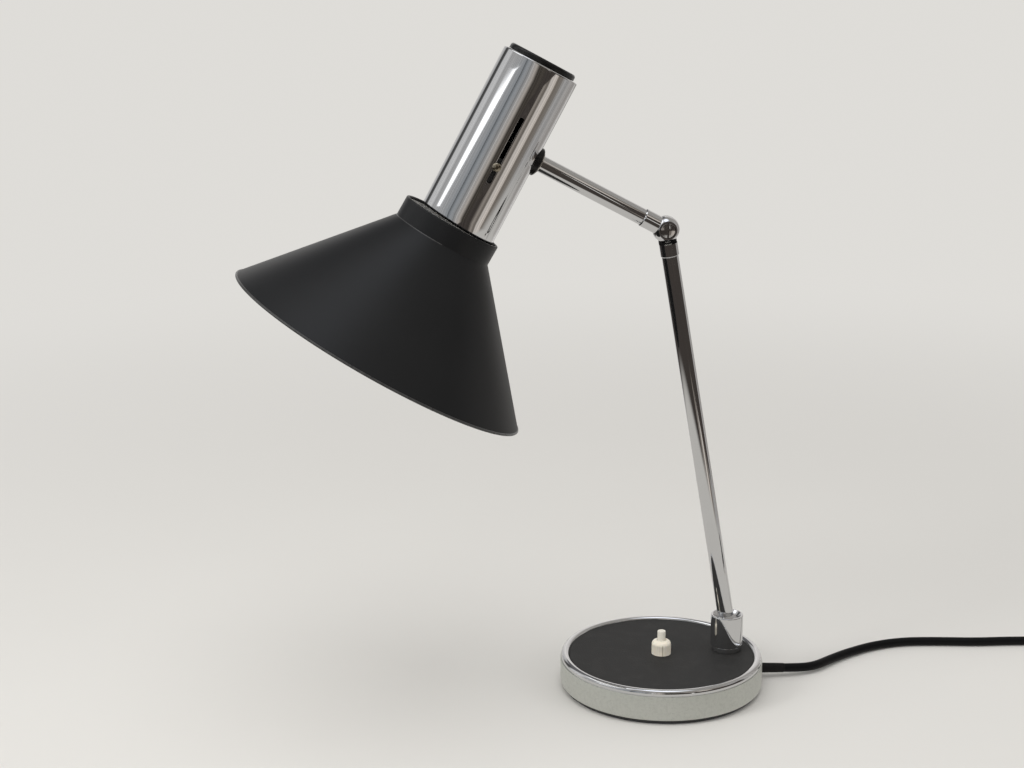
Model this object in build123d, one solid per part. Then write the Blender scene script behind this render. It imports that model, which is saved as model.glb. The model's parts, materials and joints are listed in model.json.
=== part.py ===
from build123d import *
from math import acos, atan, atan2, ceil, cos, pi, radians, sin, sqrt, tan
import os

os.makedirs("parts", exist_ok=True)

# Desk lamp with a weighted round base, a ball-jointed rod, a knuckle, a turning head tube and a
# shade that slides on it. Millimetres. The origin is the centre of the underside, +Z is up, the
# rod and the arm lie in the XZ plane, the head reaches towards -X and the cord leaves at +X.

# Clearances and fits
run_fit = 0.08
seat_gap = 0.3
free_gap = 0.8
thread_gap = 0.05
hole_gap = 0.2
small_edge = 0.4
# Base
base_r = 75.0
pad_t = 1.5
pad_inset = 4.0
plate_t = 1.5
plate_inset = 2.2
shell_wall = 1.6
shell_corner = 2.5
band_h = 19.0
bead_h = 4.4
bead_w = 6.2
bead_step = 0.6
lip_w = 4.5
ledge_t = 1.5
ledge_w = 2.8
disc_t = 1.5
disc_sink = 1.5
weight_t = 11.0
weight_wall = 8.0
boss_wall = 3.0
hollow_room = 1.0
# Bottom screws
plate_screw_r = 2.0
plate_screw_len = 9.0
plate_screw_ring_r = 55.0
plate_screws = 3
# Push-button switch at the centre of the base
nut_r = 7.2
nut_h = 10.8
nut_round = 3.4
nut_top_wall = 1.6
nut_ribs = 30
rib_depth = 0.25
button_r = 3.0
button_h = 17.9
button_travel = 2.5
button_dish = 0.35
button_dish_r = 9.0
neck_r = 4.9
neck_h = 7.6
neck_bore = 4.0
neck_floor = 1.0
collar_t = 2.0
stem_r = 1.9
spring_wire = 0.5
spring_turns = 5
switch_r = 12.0
switch_h = 16.0
switch_room = 5.0
tab_w = 5.0
tab_h = 6.0
tab_deep = 2.0
tab_out = 0.6
tab_screw_r = 1.7
tab_screw_h = 1.4
screw_slot = 0.8
# Connecting block
connector_x = 38.0
connector_y = 25.0
connector_w = 16.0
connector_h = 9.0
connector_pitch = 8.0
connector_deep = 4.0
connector_screw_r = 2.4
connector_screw_h = 3.4
channel_w = 14.0
# Post with the ball joint
post_inset = 25.0
foot_r = 11.0
foot_h = 4.2
post_r = 12.0
post_h = 23.8
post_web = 2.2
post_edge = 0.6
ball_r = 9.0
ball_drop = 6.9
lip_r = 8.2
dish_r = 10.6
seat_h = 4.5
seat_bore = 4.6
seat_nut_h = 1.8
stud_r = 5.0
stud_bore = 3.0
stud_nut_h = 4.0
stud_below_nut = 0.2
stud_nut_af = 17.0
stud_washer_r = 10.0
stud_washer_t = 1.0
swivel_nut_r = 7.0
swivel_nut_h = 2.2
# Rod and arm tubes
tube_r = 6.0
tube_wall = 1.0
stub_len = 9.0
wire_r = 2.5
wire_short = 1.0
wire_beyond = 4.0
rod_lean = 10.0
rod_len = 304.0
arm_rise = 28.4
arm_len = 134.6
# Knuckle
knob_r = 9.6
knob_flat = 6.9
neck_out_r = 6.6
neck_len = 19.5
neck_clear = 0.4
neck_chamfer = 0.6
ring_t = 0.8
ring_in = 7.6
ring_out = 9.2
wire_room_in = 4.3
wire_room_out = 7.2
wire_room_deep = 2.6
pivot_r = 3.0
pivot_head_r = 5.3
pivot_head_h = 2.6
pivot_slot = 1.4
pivot_slot_deep = 1.2
pivot_proud = 0.3
pivot_nut_af = 10.0
pivot_nut_h = 3.0
rear_floor = 3.6
spring_washer_t = 0.8
# Head tube
head_r = 28.0
head_wall = 1.2
head_above = 60.0
head_below = 70.0
head_lip_r = 23.5
cap_r = 24.7
cap_h = 4.2
cap_edge = 2.0
cap_skirt = 3.5
cap_snap = 0.8
cap_wall = 2.2
slot_w = 3.4
slot_len = 49.5
slot_from_top = 37.2
slot_corner = 0.8
washer_r = 7.9
washer_t = 1.0
saddle_r = 10.2
saddle_t = 2.6
inner_saddle_r = 8.5
inner_saddle_t = 1.9
nipple_r = 4.95
nipple_bore = 2.8
nipple_nut_af = 14.0
nipple_nut_h = 4.0
nipple_beyond = 1.2
# Sliding carriage in the head tube
guide_from_top = 74.6
guide_shank_r = 1.4
guide_head_r = 3.1
guide_head_h = 2.2
guide_beyond = 1.5
guide_slot_angle = 40.0
strip_w = 12.0
strip_t = 2.0
strip_above = 6.6
strip_in = 0.5
shelf_w = 22.0
shelf_t = 2.0
holder_nut_af = 14.0
holder_nut_h = 3.5
nipple_up = 7.0
nipple_down = 7.0
# Lampholder, shade and bulb, along the shade's own leaning axis from its collar's top
shade_lean = 2.0
shade_shift = 3.6
collar_from_arm = 62.9
collar_r = 36.0
collar_h = 14.6
collar_lip = 1.0
crease_step = 0.4
sheet_t = 1.0
rim_r = 113.0
shade_h = 105.5
rim_bead_r = 1.3
carrier_depth = 44.5
carrier_t = 1.2
carrier_arms = 3
carrier_arm_w = 11.0
carrier_ring_r = 26.0
holder_r = 20.9
holder_thread_r = 19.8
holder_wall = 2.4
holder_cap_h = 29.0
holder_top = 14.0
holder_dome = 8.0
holder_spigot = 6.0
holder_threads = 3
thread_pitch = 2.5
thread_deep = 0.5
holder_mouth = 53.0
ring_nut_r = 25.5
ring_nut_h = 6.0
ring_nut_ribs = 24
ring_nut_rib = 0.7
insert_t = 11.0
insert_depth = 18.0
shell_sheet = 0.6
shell_len = 21.0
contact_w = 7.0
contact_t = 1.2
contact_len = 11.0
bulb_r = 22.5
bulb_neck_r = 12.4
bulb_wall = 0.8
bulb_end = 101.0
bulb_cap_r = 13.1
bulb_cap_len = 24.0
bulb_cap_cone = 3.0
bulb_neck_len = 6.0
cap_sheet = 0.7
# Mains cord
cord_d = 6.7
exit_h = 8.0
exit_droop = 4.0
sleeve_len = 20.6
sleeve_start_r = 3.8
sleeve_end_r = 3.5
grommet_neck_r = 3.9
grommet_flange_r = 4.7
grommet_flange_t = 1.0
grommet_back_r = 5.0
grommet_back_t = 2.0
lead_len = 9.0
clip_r = 5.2
clip_len = 5.0
clip_from_grommet = 1.5
clip_foot_w = 6.0
# Coil of the length that is put away
coil_x = 407.0
coil_entry_y = 6.0
coil_turns = 6.5
coil_mean_d = 73.0
coil_pitch = 7.2
coil_ease = 0.35
# Plug with two round pins
tail_end = 12.0
tail_slope = 15.0
plug_w = 35.0
plug_t = 13.8
plug_shoulder = 12.0
plug_edge = 4.1
plug_neck_t = 11.0
plug_neck_w = 15.8
plug_body_len = 32.0
plug_taper_len = 14.0
plug_taper_r = 5.2
pin_r = 2.0
pin_len = 19.0
pin_gap = 18.6

# Heights and places that follow from the base's parts
post_x = base_r - post_inset
plate_z = pad_t
shell_z = plate_z + plate_t
band_z = shell_z + band_h
bead_z = band_z + bead_h
disc_z = bead_z - disc_sink
ledge_z = disc_z - disc_t
weight_z = shell_z + weight_t
stud_seat_z = shell_z + hollow_room + stud_nut_h + stud_washer_t
foot_z = disc_z + foot_h
post_z = foot_z + post_h
ball_z = post_z - ball_drop
web_z = foot_z + post_web
neck_floor_z = ledge_z + neck_floor
disc_r = base_r - bead_w - hole_gap
weight_r = base_r - lip_w - seat_gap
switch_hole_r = switch_r + switch_room
coil_in_r = coil_mean_d / 2 - coil_pitch * coil_turns / 4
coil_out_r = coil_mean_d / 2 + coil_pitch * coil_turns / 4
coil_y = coil_entry_y - coil_out_r
tail_len = 2 * tail_end + tail_slope

# Points and frames of the linkage
knuckle_x = post_x - rod_len * sin(radians(rod_lean))
knuckle_z = ball_z + rod_len * cos(radians(rod_lean))
head_x = knuckle_x - arm_len * cos(radians(arm_rise))
head_z = knuckle_z + arm_len * sin(radians(arm_rise))
rod_frame = Location((post_x, 0, ball_z), (0, -rod_lean, 0))
rod_top_frame = Location((knuckle_x, 0, knuckle_z), (0, 180 - rod_lean, 0))
arm_frame = Location((knuckle_x, 0, knuckle_z), (0, arm_rise - 90, 0))
head_frame = Location((head_x, 0, head_z), (0, arm_rise, 0))
shade_frame = head_frame * Location((-shade_shift, 0, -collar_from_arm), (0, shade_lean, 0))
exit_frame = Location((base_r, 0, exit_h), (0, 90 + exit_droop, 0))


# Shape helpers

def rod_of(r, low, high, x=0.0, y=0.0):
    """A round bar along Z from height low to height high."""
    return Pos(x, y, low) * Cylinder(r, high - low, align=(Align.CENTER, Align.CENTER, Align.MIN))


def pipe(r, bore, low, high):
    return rod_of(r, low, high) - rod_of(bore, low - 1, high + 1)


def block(x, y, z):
    """A box from its low and high limits along each axis."""
    size = (x[1] - x[0], y[1] - y[0], z[1] - z[0])
    return Pos((x[0] + x[1]) / 2, (y[0] + y[1]) / 2, (z[0] + z[1]) / 2) * Box(*size)


def turned(*points):
    """A solid of revolution about Z from a closed outline of (radius, height) points."""
    outline = Polyline(*[(r, 0, z) for r, z in points], close=True)
    return revolve(make_face(outline), Axis.Z)


def hexagon(across, low, high):
    prism = extrude(RegularPolygon(across / sqrt(3), 6), high - low)
    return Pos(0, 0, low) * prism


def half_space(side, start, reach):
    """The part of a cube of the given reach that lies on one side of the plane y = start."""
    return Pos(0, start + side * reach, 0) * Box(2 * reach, 2 * reach, 2 * reach)


def facing_y(side):
    """Turns a shape drawn up +Z so that it points along +Y or -Y."""
    return Rot(-90 * side, 0, 0)


# Base

def base_pad():
    """Felt disc that the lamp stands on."""
    return rod_of(base_r - pad_inset, 0, plate_z)


def plate_screw_places():
    return [loc for loc in PolarLocations(plate_screw_ring_r, plate_screws, start_angle=90)]


def plate_screw_shape(extra=0.0):
    """Countersunk screw, drawn head down at the plate's underside; extra widens it into its hole."""
    head_r = 2 * plate_screw_r + extra
    head = turned((0, 0), (head_r, 0), (plate_screw_r + extra, plate_t), (0, plate_t))
    return head + rod_of(plate_screw_r + extra, 0, plate_screw_len + extra)


def bottom_plate():
    """Black sheet steel plate that closes the base and clamps the shell to the weight."""
    plate = rod_of(base_r - plate_inset, plate_z, shell_z)
    for place in plate_screw_places():
        plate -= Pos(0, 0, plate_z) * place * plate_screw_shape(thread_gap)
    return plate


def bottom_screws():
    screws = [Pos(0, 0, plate_z) * place * plate_screw_shape() for place in plate_screw_places()]
    return Compound(children=screws)


def base_shell():
    """Metal ring: a satin band with a rounded foot, a polished bead and a ledge for the disc."""
    inner = base_r - shell_wall
    bead_out = base_r - bead_step
    bead_in = base_r - bead_w
    bead_top_x = (bead_out + bead_in) / 2
    ledge_in = bead_in - ledge_w
    under = ledge_z - ledge_t
    outline = [
        Line((base_r - lip_w, shell_z), (base_r - shell_corner, shell_z)),
        TangentArc((base_r - shell_corner, shell_z), (base_r, shell_z + shell_corner), tangent=(1, 0)),
        Line((base_r, shell_z + shell_corner), (base_r, band_z)),
        Line((base_r, band_z), (bead_out, band_z)),
        Line((bead_out, band_z), (bead_out, band_z + bead_step)),
        ThreePointArc((bead_out, band_z + bead_step), (bead_top_x, bead_z), (bead_in, disc_z)),
        Line((bead_in, disc_z), (bead_in, ledge_z)),
        Line((bead_in, ledge_z), (ledge_in, ledge_z)),
        Line((ledge_in, ledge_z), (ledge_in, under)),
        Line((ledge_in, under), (inner, under)),
        Line((inner, under), (inner, shell_z + shell_wall)),
        Line((inner, shell_z + shell_wall), (base_r - lip_w, shell_z + shell_wall)),
        Line((base_r - lip_w, shell_z + shell_wall), (base_r - lip_w, shell_z)),
    ]
    face = Plane.XZ * make_face(Curve() + outline)
    ring = revolve(face, Axis.Z)
    ring -= exit_frame * rod_of(grommet_neck_r + seat_gap, -bead_w, bead_w)
    return ring - exit_frame * rod_of(grommet_flange_r + 2 * seat_gap, -bead_w, -shell_wall)


def base_weight():
    """Cast iron weight with a raised wall and rooms for the switch, the stud nut and the wiring."""
    under = ledge_z - ledge_t
    body = rod_of(weight_r, shell_z, weight_z)
    body += pipe(weight_r, weight_r - weight_wall, weight_z, under)
    body += rod_of(stud_washer_r + boss_wall, weight_z, ledge_z, post_x)
    body -= rod_of(switch_hole_r, shell_z - 1, ledge_z)
    body -= rod_of(stud_r + hole_gap, shell_z - 1, ledge_z + 1, post_x)
    body -= rod_of(stud_washer_r + hollow_room, shell_z - 1, stud_seat_z, post_x)
    room = clip_r + hollow_room
    notch_top = exit_h + room
    body -= block((post_x + room, base_r), (-room, room), (shell_z - 1, notch_top))
    half = connector_w / 2 + hollow_room
    x = (connector_x - half, connector_x + half)
    body -= block(x, (connector_y - half, connector_y + half), (shell_z - 1, ledge_z))
    channel_x = (post_x - channel_w / 2, post_x + channel_w / 2)
    channel_y = (0, connector_y - half + 1)
    body -= block(channel_x, channel_y, (shell_z - 1, stud_seat_z))
    hole = rod_of(plate_screw_r + thread_gap, plate_z, plate_z + plate_screw_len + 0.5)
    for place in plate_screw_places():
        body -= place * hole
    return body


def top_disc():
    """Steel disc covered in black leathercloth, set just below the bead."""
    disc = rod_of(disc_r, ledge_z, disc_z)
    disc -= rod_of(neck_r + hole_gap, ledge_z - 1, disc_z + 1)
    disc -= rod_of(stud_r + hole_gap, ledge_z - 1, disc_z + 1, post_x)
    return disc


# Push-button switch

def switch_body():
    """Moulded body that hangs under the disc by its threaded neck."""
    low = ledge_z - switch_h
    body = rod_of(switch_r, low, ledge_z)
    body += rod_of(neck_r, ledge_z, disc_z + neck_h)
    body -= rod_of(neck_bore, neck_floor_z, disc_z + neck_h + 1)
    for side in (1, -1):
        x = sorted((side * (switch_r - tab_deep), side * (switch_r + 1)))
        body -= block(x, (-tab_w / 2, tab_w / 2), (low - 1, low + tab_h))
    return body


def switch_ring_nut():
    """Ivory ring nut with fine ribs and a round shoulder, screwed onto the neck."""
    nut = rod_of(nut_r, disc_z, disc_z + nut_h)
    top_edge = nut.edges().sort_by(Axis.Z)[-1]
    nut = fillet(top_edge, nut_round)
    nut -= rod_of(neck_r + thread_gap, disc_z - 1, disc_z + nut_h - nut_top_wall)
    nut -= rod_of(button_r + seat_gap, disc_z, disc_z + nut_h + 1)
    groove = rod_of(rib_depth, disc_z + small_edge, disc_z + nut_h - nut_round - small_edge)
    for place in PolarLocations(nut_r, nut_ribs):
        nut -= place * groove
    return nut


def switch_button():
    """Plunger with a slightly dished top and a flange that holds it in the neck."""
    top = disc_z + button_h
    flange_top = disc_z + nut_h - nut_top_wall - seat_gap
    flange_low = flange_top - collar_t
    button = rod_of(button_r, flange_low, top)
    button = fillet(button.edges().sort_by(Axis.Z)[-1], small_edge)
    button += rod_of(neck_bore - 2 * hole_gap, flange_low, flange_top)
    stem_low = neck_floor_z + button_travel + seat_gap
    button += rod_of(stem_r, stem_low, flange_low)
    return button - Pos(0, 0, top + button_dish_r - button_dish) * Sphere(button_dish_r)


def switch_spring():
    """Return spring between the switch body and the plunger's flange."""
    low = neck_floor_z + spring_wire / 2 + thread_gap
    flange_low = disc_z + nut_h - nut_top_wall - seat_gap - collar_t
    high = flange_low - spring_wire / 2 - thread_gap
    mean_r = (stem_r + neck_bore) / 2
    path = Pos(0, 0, low) * Helix((high - low) / spring_turns, high - low, mean_r)
    profile = Plane(origin=path @ 0, z_dir=path % 0) * Circle(spring_wire / 2)
    return sweep(profile, path=path, is_frenet=True)


# Wiring inside the base

def terminal_block():
    """Two-way ceramic connecting block on the bottom plate."""
    half = connector_w / 2
    x = (connector_x - half, connector_x + half)
    body = block(x, (connector_y - half, connector_y + half), (shell_z, shell_z + connector_h))
    high = shell_z + connector_h
    for y in connector_screw_ys():
        body -= rod_of(connector_screw_r + hole_gap, high - connector_deep, high + 1, connector_x, y)
    return body


def connector_screw_ys():
    return [connector_y - connector_pitch / 2, connector_y + connector_pitch / 2]


def wiring_terminals():
    """Brass terminals: two in the switch's sides and two screws in the connecting block."""
    low = ledge_z - switch_h
    parts = []
    for side in (1, -1):
        x = sorted((side * (switch_r - tab_deep), side * (switch_r + tab_out)))
        tab = block(x, (-tab_w / 2, tab_w / 2), (low + small_edge, low + tab_h))
        head = Pos(side * (switch_r + tab_out), 0, low + tab_h / 2)
        parts.append(tab + head * Rot(0, 90 * side, 0) * rod_of(tab_screw_r, 0, tab_screw_h))
    low = shell_z + connector_h - connector_deep
    for y in connector_screw_ys():
        screw = rod_of(connector_screw_r, low, low + connector_screw_h, connector_x, y)
        high = low + connector_screw_h
        slot_x = (connector_x - connector_screw_r, connector_x + connector_screw_r)
        screw -= block(slot_x, (y - screw_slot / 2, y + screw_slot / 2), (high - screw_slot, high + 1))
        parts.append(screw)
    return Compound(children=parts)


def cord_grommet():
    """Rubber grommet in the band, with the short tapered sleeve round the cord's exit."""
    inside = shell_wall + seat_gap
    outside = seat_gap + grommet_flange_t
    return exit_frame * turned(
        (0, -inside - grommet_back_t),
        (grommet_back_r, -inside - grommet_back_t),
        (grommet_back_r, -inside),
        (grommet_neck_r, -inside),
        (grommet_neck_r, seat_gap),
        (grommet_flange_r, seat_gap),
        (grommet_flange_r, outside),
        (sleeve_start_r, outside + small_edge),
        (sleeve_end_r, sleeve_len),
        (0, sleeve_len),
    )


lead_start = -shell_wall - seat_gap - grommet_back_t
clip_high = lead_start - clip_from_grommet


def inner_lead():
    """The cord's short run from the grommet to its clip."""
    return exit_frame * rod_of(cord_d / 2, lead_start - lead_len, lead_start)


def lead_clip():
    """Clip that grips the lead and stands on the bottom plate."""
    hole = rod_of(cord_d / 2 + thread_gap, clip_high - 2 * clip_len, clip_high + clip_len)
    ring = exit_frame * (rod_of(clip_r, clip_high - clip_len, clip_high) - hole)
    x = base_r + clip_high
    foot = block((x - clip_len, x), (-clip_foot_w / 2, clip_foot_w / 2), (shell_z, exit_h))
    floor = block((x - 3 * clip_len, x + clip_len), (-2 * clip_r, 2 * clip_r), (0, shell_z))
    return ring + (foot - exit_frame * hole) - floor


# Post and swivel

def foot_ring():
    """Chrome ring between the disc and the turning post."""
    ring = rod_of(foot_r, disc_z, foot_z, post_x)
    ring = chamfer(ring.edges().filter_by(GeomType.CIRCLE), small_edge)
    return ring - rod_of(stud_r + hole_gap, disc_z - 1, foot_z + 1, post_x)


def swivel_stud():
    """Hollow threaded stud through the weight, the disc and the foot ring."""
    low = shell_z + hollow_room - stud_below_nut
    high = web_z + swivel_nut_h
    return Pos(post_x, 0, 0) * pipe(stud_r, stud_bore, low, high)


def stud_washer():
    washer = pipe(stud_washer_r, stud_r + hole_gap, stud_seat_z - stud_washer_t, stud_seat_z)
    return Pos(post_x, 0, 0) * washer


def stud_nut():
    high = stud_seat_z - stud_washer_t
    nut = hexagon(stud_nut_af, high - stud_nut_h, high) - rod_of(stud_r + thread_gap, 0, high + 1)
    return Pos(post_x, 0, 0) * nut


def swivel_nut():
    """Round nut on the stud's top that holds the post down and lets it turn."""
    nut = pipe(swivel_nut_r, stud_r + thread_gap, web_z, web_z + swivel_nut_h)
    return Pos(post_x, 0, 0) * nut


def post():
    """Chrome post with a dished mouth whose lip holds the ball."""
    cup_r = ball_r + seat_gap
    body = rod_of(post_r, foot_z, post_z)
    rims = body.edges().filter_by(GeomType.CIRCLE).sort_by(Axis.Z)
    body = fillet(rims[-1], post_edge)
    body = chamfer(body.edges().filter_by(GeomType.CIRCLE).sort_by(Axis.Z)[0], small_edge)
    lip_z = ball_z + sqrt(cup_r ** 2 - lip_r ** 2)
    body -= turned(
        (0, lip_z - 1),
        (lip_r, lip_z - 1),
        (lip_r, lip_z),
        (dish_r, post_z),
        (dish_r, post_z + 1),
        (0, post_z + 1),
    )
    body -= Pos(0, 0, ball_z) * Sphere(cup_r)
    body -= rod_of(cup_r, web_z, ball_z)
    body -= rod_of(stud_r + run_fit, foot_z - 1, web_z + 1)
    return Pos(post_x, 0, 0) * body


def ball_seat():
    """Fibre ring with a round hollow that presses on the ball from below."""
    low = web_z + swivel_nut_h + seat_gap + seat_nut_h
    ring = pipe(ball_r + seat_gap - thread_gap, seat_bore, low, low + seat_h)
    return Pos(post_x, 0, 0) * (ring - Pos(0, 0, ball_z) * Sphere(ball_r + seat_gap))


def seat_nut():
    """Threaded ring in the post's bore under the seat."""
    low = web_z + swivel_nut_h + seat_gap
    ring = pipe(ball_r + seat_gap - thread_gap, stud_r + seat_gap, low, low + seat_nut_h)
    return Pos(post_x, 0, 0) * ring


# Lower rod

def rod_ball():
    """Steel ball with a hollow stub that the rod is screwed onto."""
    flat = sqrt(ball_r ** 2 - tube_r ** 2)
    ball = Sphere(ball_r) - block((-ball_r, ball_r), (-ball_r, ball_r), (flat, ball_r + 1))
    ball += rod_of(tube_r - tube_wall - thread_gap, 0, flat + stub_len)
    ball -= rod_of(wire_r + seat_gap, -ball_r - 1, flat + stub_len + 1)
    return rod_frame * ball


def lower_rod():
    start = sqrt(ball_r ** 2 - tube_r ** 2)
    return rod_frame * pipe(tube_r, tube_r - tube_wall, start, rod_len - neck_len)


def rod_wire():
    """Two-core flex inside the rod, from the ball to the knuckle's neck."""
    high = rod_len - knob_r - neck_clear - wire_short
    return rod_frame * rod_of(wire_r, wire_short - ball_r, high)


# Knuckle: each half is a half-ball with a round neck, cut hollow where it clears the other half

def knuckle_half(side):
    """One half, with its neck along +Z; side is -1 for the half that faces -Y, 1 for the other."""
    face = ring_t / 2
    half = Sphere(knob_r) & half_space(side, side * face, 2 * knob_r)
    half -= half_space(side, side * knob_flat, 2 * knob_r)
    neck = rod_of(neck_out_r, 0, neck_len)
    neck = chamfer(neck.edges().filter_by(GeomType.CIRCLE).sort_by(Axis.Z)[-1], neck_chamfer)
    clear = Sphere(knob_r + neck_clear)
    own_side = (neck & half_space(side, side * face, 2 * neck_len)) & clear
    own_side -= half_space(side, side * knob_flat, 2 * knob_r)
    half += (neck - clear) + own_side
    half += rod_of(tube_r - tube_wall - thread_gap, neck_len - 1, neck_len + stub_len)
    half -= rod_of(wire_r + seat_gap, wire_room_out - 1, neck_len + stub_len + 1)
    groove = pipe(wire_room_out, wire_room_in, 0, face + wire_room_deep)
    half -= facing_y(side) * groove
    return half


def knuckle_front():
    """Half on the arm, with a round recess for the screw's head."""
    half = knuckle_half(-1)
    floor = knob_flat - pivot_head_h
    half -= facing_y(-1) * rod_of(pivot_head_r + seat_gap, floor, knob_r)
    half -= facing_y(-1) * rod_of(pivot_r + thread_gap, 0, knob_r)
    return arm_frame * half


def knuckle_rear():
    """Half on the rod, with a round recess for the nut."""
    half = knuckle_half(1)
    recess_r = pivot_nut_af / sqrt(3) + free_gap
    half -= facing_y(1) * rod_of(recess_r, rear_floor, knob_r)
    half -= facing_y(1) * rod_of(pivot_r + run_fit, 0, knob_r)
    return rod_top_frame * half


def friction_ring():
    """Fibre ring between the two halves."""
    ring = facing_y(1) * pipe(ring_out, ring_in, -ring_t / 2, ring_t / 2)
    return Pos(knuckle_x, 0, knuckle_z) * ring


def knuckle_screw():
    """Slotted screw through both halves, its slot upright."""
    floor = knob_flat - pivot_head_h
    end = rear_floor + spring_washer_t + pivot_nut_h + pivot_proud
    top = knob_flat + pivot_proud
    head = rod_of(pivot_head_r, floor, top)
    head = fillet(head.edges().sort_by(Axis.Z)[-1], small_edge)
    half_slot = pivot_slot / 2
    head -= block((-half_slot, half_slot), (-knob_r, knob_r), (top - pivot_slot_deep, top + 1))
    screw = head + rod_of(pivot_r, -end, floor)
    return Pos(knuckle_x, 0, knuckle_z) * (facing_y(-1) * screw)


def knuckle_washer():
    low = rear_floor
    washer = pipe(pivot_nut_af / 2, pivot_r + hole_gap, low, low + spring_washer_t)
    return Pos(knuckle_x, 0, knuckle_z) * (facing_y(1) * washer)


def knuckle_nut():
    low = rear_floor + spring_washer_t
    nut = hexagon(pivot_nut_af, low, low + pivot_nut_h)
    nut -= rod_of(pivot_r + thread_gap, low - 1, low + pivot_nut_h + 1)
    return Pos(knuckle_x, 0, knuckle_z) * (facing_y(1) * nut)


# Upper arm

saddle_face = arm_len - head_r - saddle_t
nipple_end = arm_len - head_r + head_wall + inner_saddle_t + nipple_nut_h + nipple_beyond


def upper_arm():
    end = saddle_face - washer_t
    return arm_frame * pipe(tube_r, tube_r - tube_wall, neck_len, end)


def arm_wire():
    """Two-core flex inside the arm, from the knuckle's neck into the head tube."""
    low = knob_r + neck_clear + wire_short
    return arm_frame * rod_of(wire_r, low, nipple_end + wire_beyond)


def arm_nipple():
    """Hollow threaded nipple that fastens the arm to the head tube."""
    return arm_frame * pipe(nipple_r, nipple_bore, saddle_face - washer_t - stub_len, nipple_end)


def arm_washer():
    return arm_frame * pipe(washer_r, nipple_r + thread_gap, saddle_face - washer_t, saddle_face)


def inner_nut():
    """Nut on the nipple inside the head tube."""
    low = arm_len - head_r + head_wall + inner_saddle_t
    nut = hexagon(nipple_nut_af, low, low + nipple_nut_h)
    return arm_frame * (nut - rod_of(nipple_r + thread_gap, low - 1, low + nipple_nut_h + 1))


# Head tube

def across_head(r, low, high):
    """A round bar along the arm's axis, low and high measured from the head tube's axis."""
    return Rot(0, 90, 0) * rod_of(r, low, high)


def head_tube():
    """Chrome tube with an inward lip on top, a long slot at the side and a hole for the arm."""
    inner = head_r - head_wall
    tube = rod_of(head_r, -head_below, head_above)
    top_edge = tube.edges().filter_by(GeomType.CIRCLE).sort_by(Axis.Z)[-1]
    tube = fillet(top_edge, head_wall)
    tube -= rod_of(inner, -head_below - 1, head_above - head_wall)
    tube -= rod_of(head_lip_r, 0, head_above + 1)
    high = head_above - slot_from_top
    slot = block((-slot_w / 2, slot_w / 2), (-head_r - 2, -inner + 2), (high - slot_len, high))
    slot = fillet(slot.edges().filter_by(Axis.Y), slot_corner)
    tube -= slot
    tube -= across_head(nipple_r + run_fit, inner - 2, head_r + 2)
    return head_frame * tube


def top_cap():
    """Black moulded cap, snapped into the lip of the tube."""
    under = head_above - head_wall - hole_gap
    cap = rod_of(cap_r, head_above, head_above + cap_h)
    cap = fillet(cap.edges().filter_by(GeomType.CIRCLE).sort_by(Axis.Z)[-1], cap_edge)
    cap += rod_of(head_lip_r - hole_gap, under, head_above)
    cap += rod_of(head_lip_r + cap_snap, under - cap_skirt, under)
    cap -= rod_of(head_lip_r - cap_wall, 0, head_above + cap_h - cap_wall)
    return head_frame * cap


def saddle_washer():
    """Black moulded washer, flat to the arm and hollowed to sit on the tube."""
    face = head_r + saddle_t
    body = across_head(saddle_r, head_r - 4, face)
    rim = body.edges().filter_by(GeomType.CIRCLE).sort_by(Axis.X)[-1]
    body = chamfer(rim, 2 * small_edge)
    body -= rod_of(head_r, -2 * saddle_r, 2 * saddle_r)
    body -= across_head(nipple_r + run_fit, 0, face + 1)
    return head_frame * body


def inner_saddle():
    """Metal washer that fits the tube's inside and gives the nut a flat face."""
    inner = head_r - head_wall
    body = across_head(inner_saddle_r, inner - inner_saddle_t, head_r)
    body &= rod_of(inner, -2 * inner_saddle_r, 2 * inner_saddle_r)
    body -= across_head(nipple_r + run_fit, 0, head_r + 1)
    return head_frame * body


# Carriage that slides in the head tube, guided by a screw in the slot

guide_z = head_above - guide_from_top
strip_out = sqrt((head_r - head_wall - strip_in) ** 2 - (strip_w / 2) ** 2)
shelf_z = holder_top + shelf_t


def slide_bracket():
    """Steel strip along the slot, bent into a shelf that carries the lampholder."""
    low = holder_top - collar_from_arm
    high = guide_z + strip_above
    strip = block((-strip_w / 2, strip_w / 2), (-strip_out, strip_t - strip_out), (low, high))
    strip -= Pos(0, 0, guide_z) * facing_y(-1) * rod_of(guide_shank_r + thread_gap, 0, head_r)
    tongue = block((-shelf_w / 2, shelf_w / 2), (-head_r, 0), (holder_top, shelf_z))
    tongue += rod_of(shelf_w / 2, holder_top, shelf_z)
    tongue -= rod_of(nipple_r + thread_gap, holder_top - 1, shelf_z + 1)
    room = rod_of(head_r - head_wall - strip_in, -2 * collar_from_arm, head_above)
    return (head_frame * strip + shade_frame * tongue) & (head_frame * room)


def guide_screw():
    """Slotted brass screw that runs in the slot."""
    head_low = head_r + seat_gap
    screw = rod_of(guide_shank_r, strip_out - strip_t - guide_beyond, head_low)
    top = head_low + guide_head_h
    head = rod_of(guide_head_r, head_low, top)
    head = fillet(head.edges().sort_by(Axis.Z)[-1], guide_head_h / 3)
    half_slot = screw_slot / 2
    head -= block((-guide_head_r, guide_head_r), (-half_slot, half_slot), (top - screw_slot, top + 1))
    turn = Rot(0, 0, guide_slot_angle)
    return head_frame * Pos(0, 0, guide_z) * facing_y(-1) * turn * (screw + head)


def holder_nipple():
    """Hollow threaded nipple between the shelf and the lampholder."""
    low = holder_top - nipple_down
    return shade_frame * pipe(nipple_r, nipple_bore, low, shelf_z + nipple_up)


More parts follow.
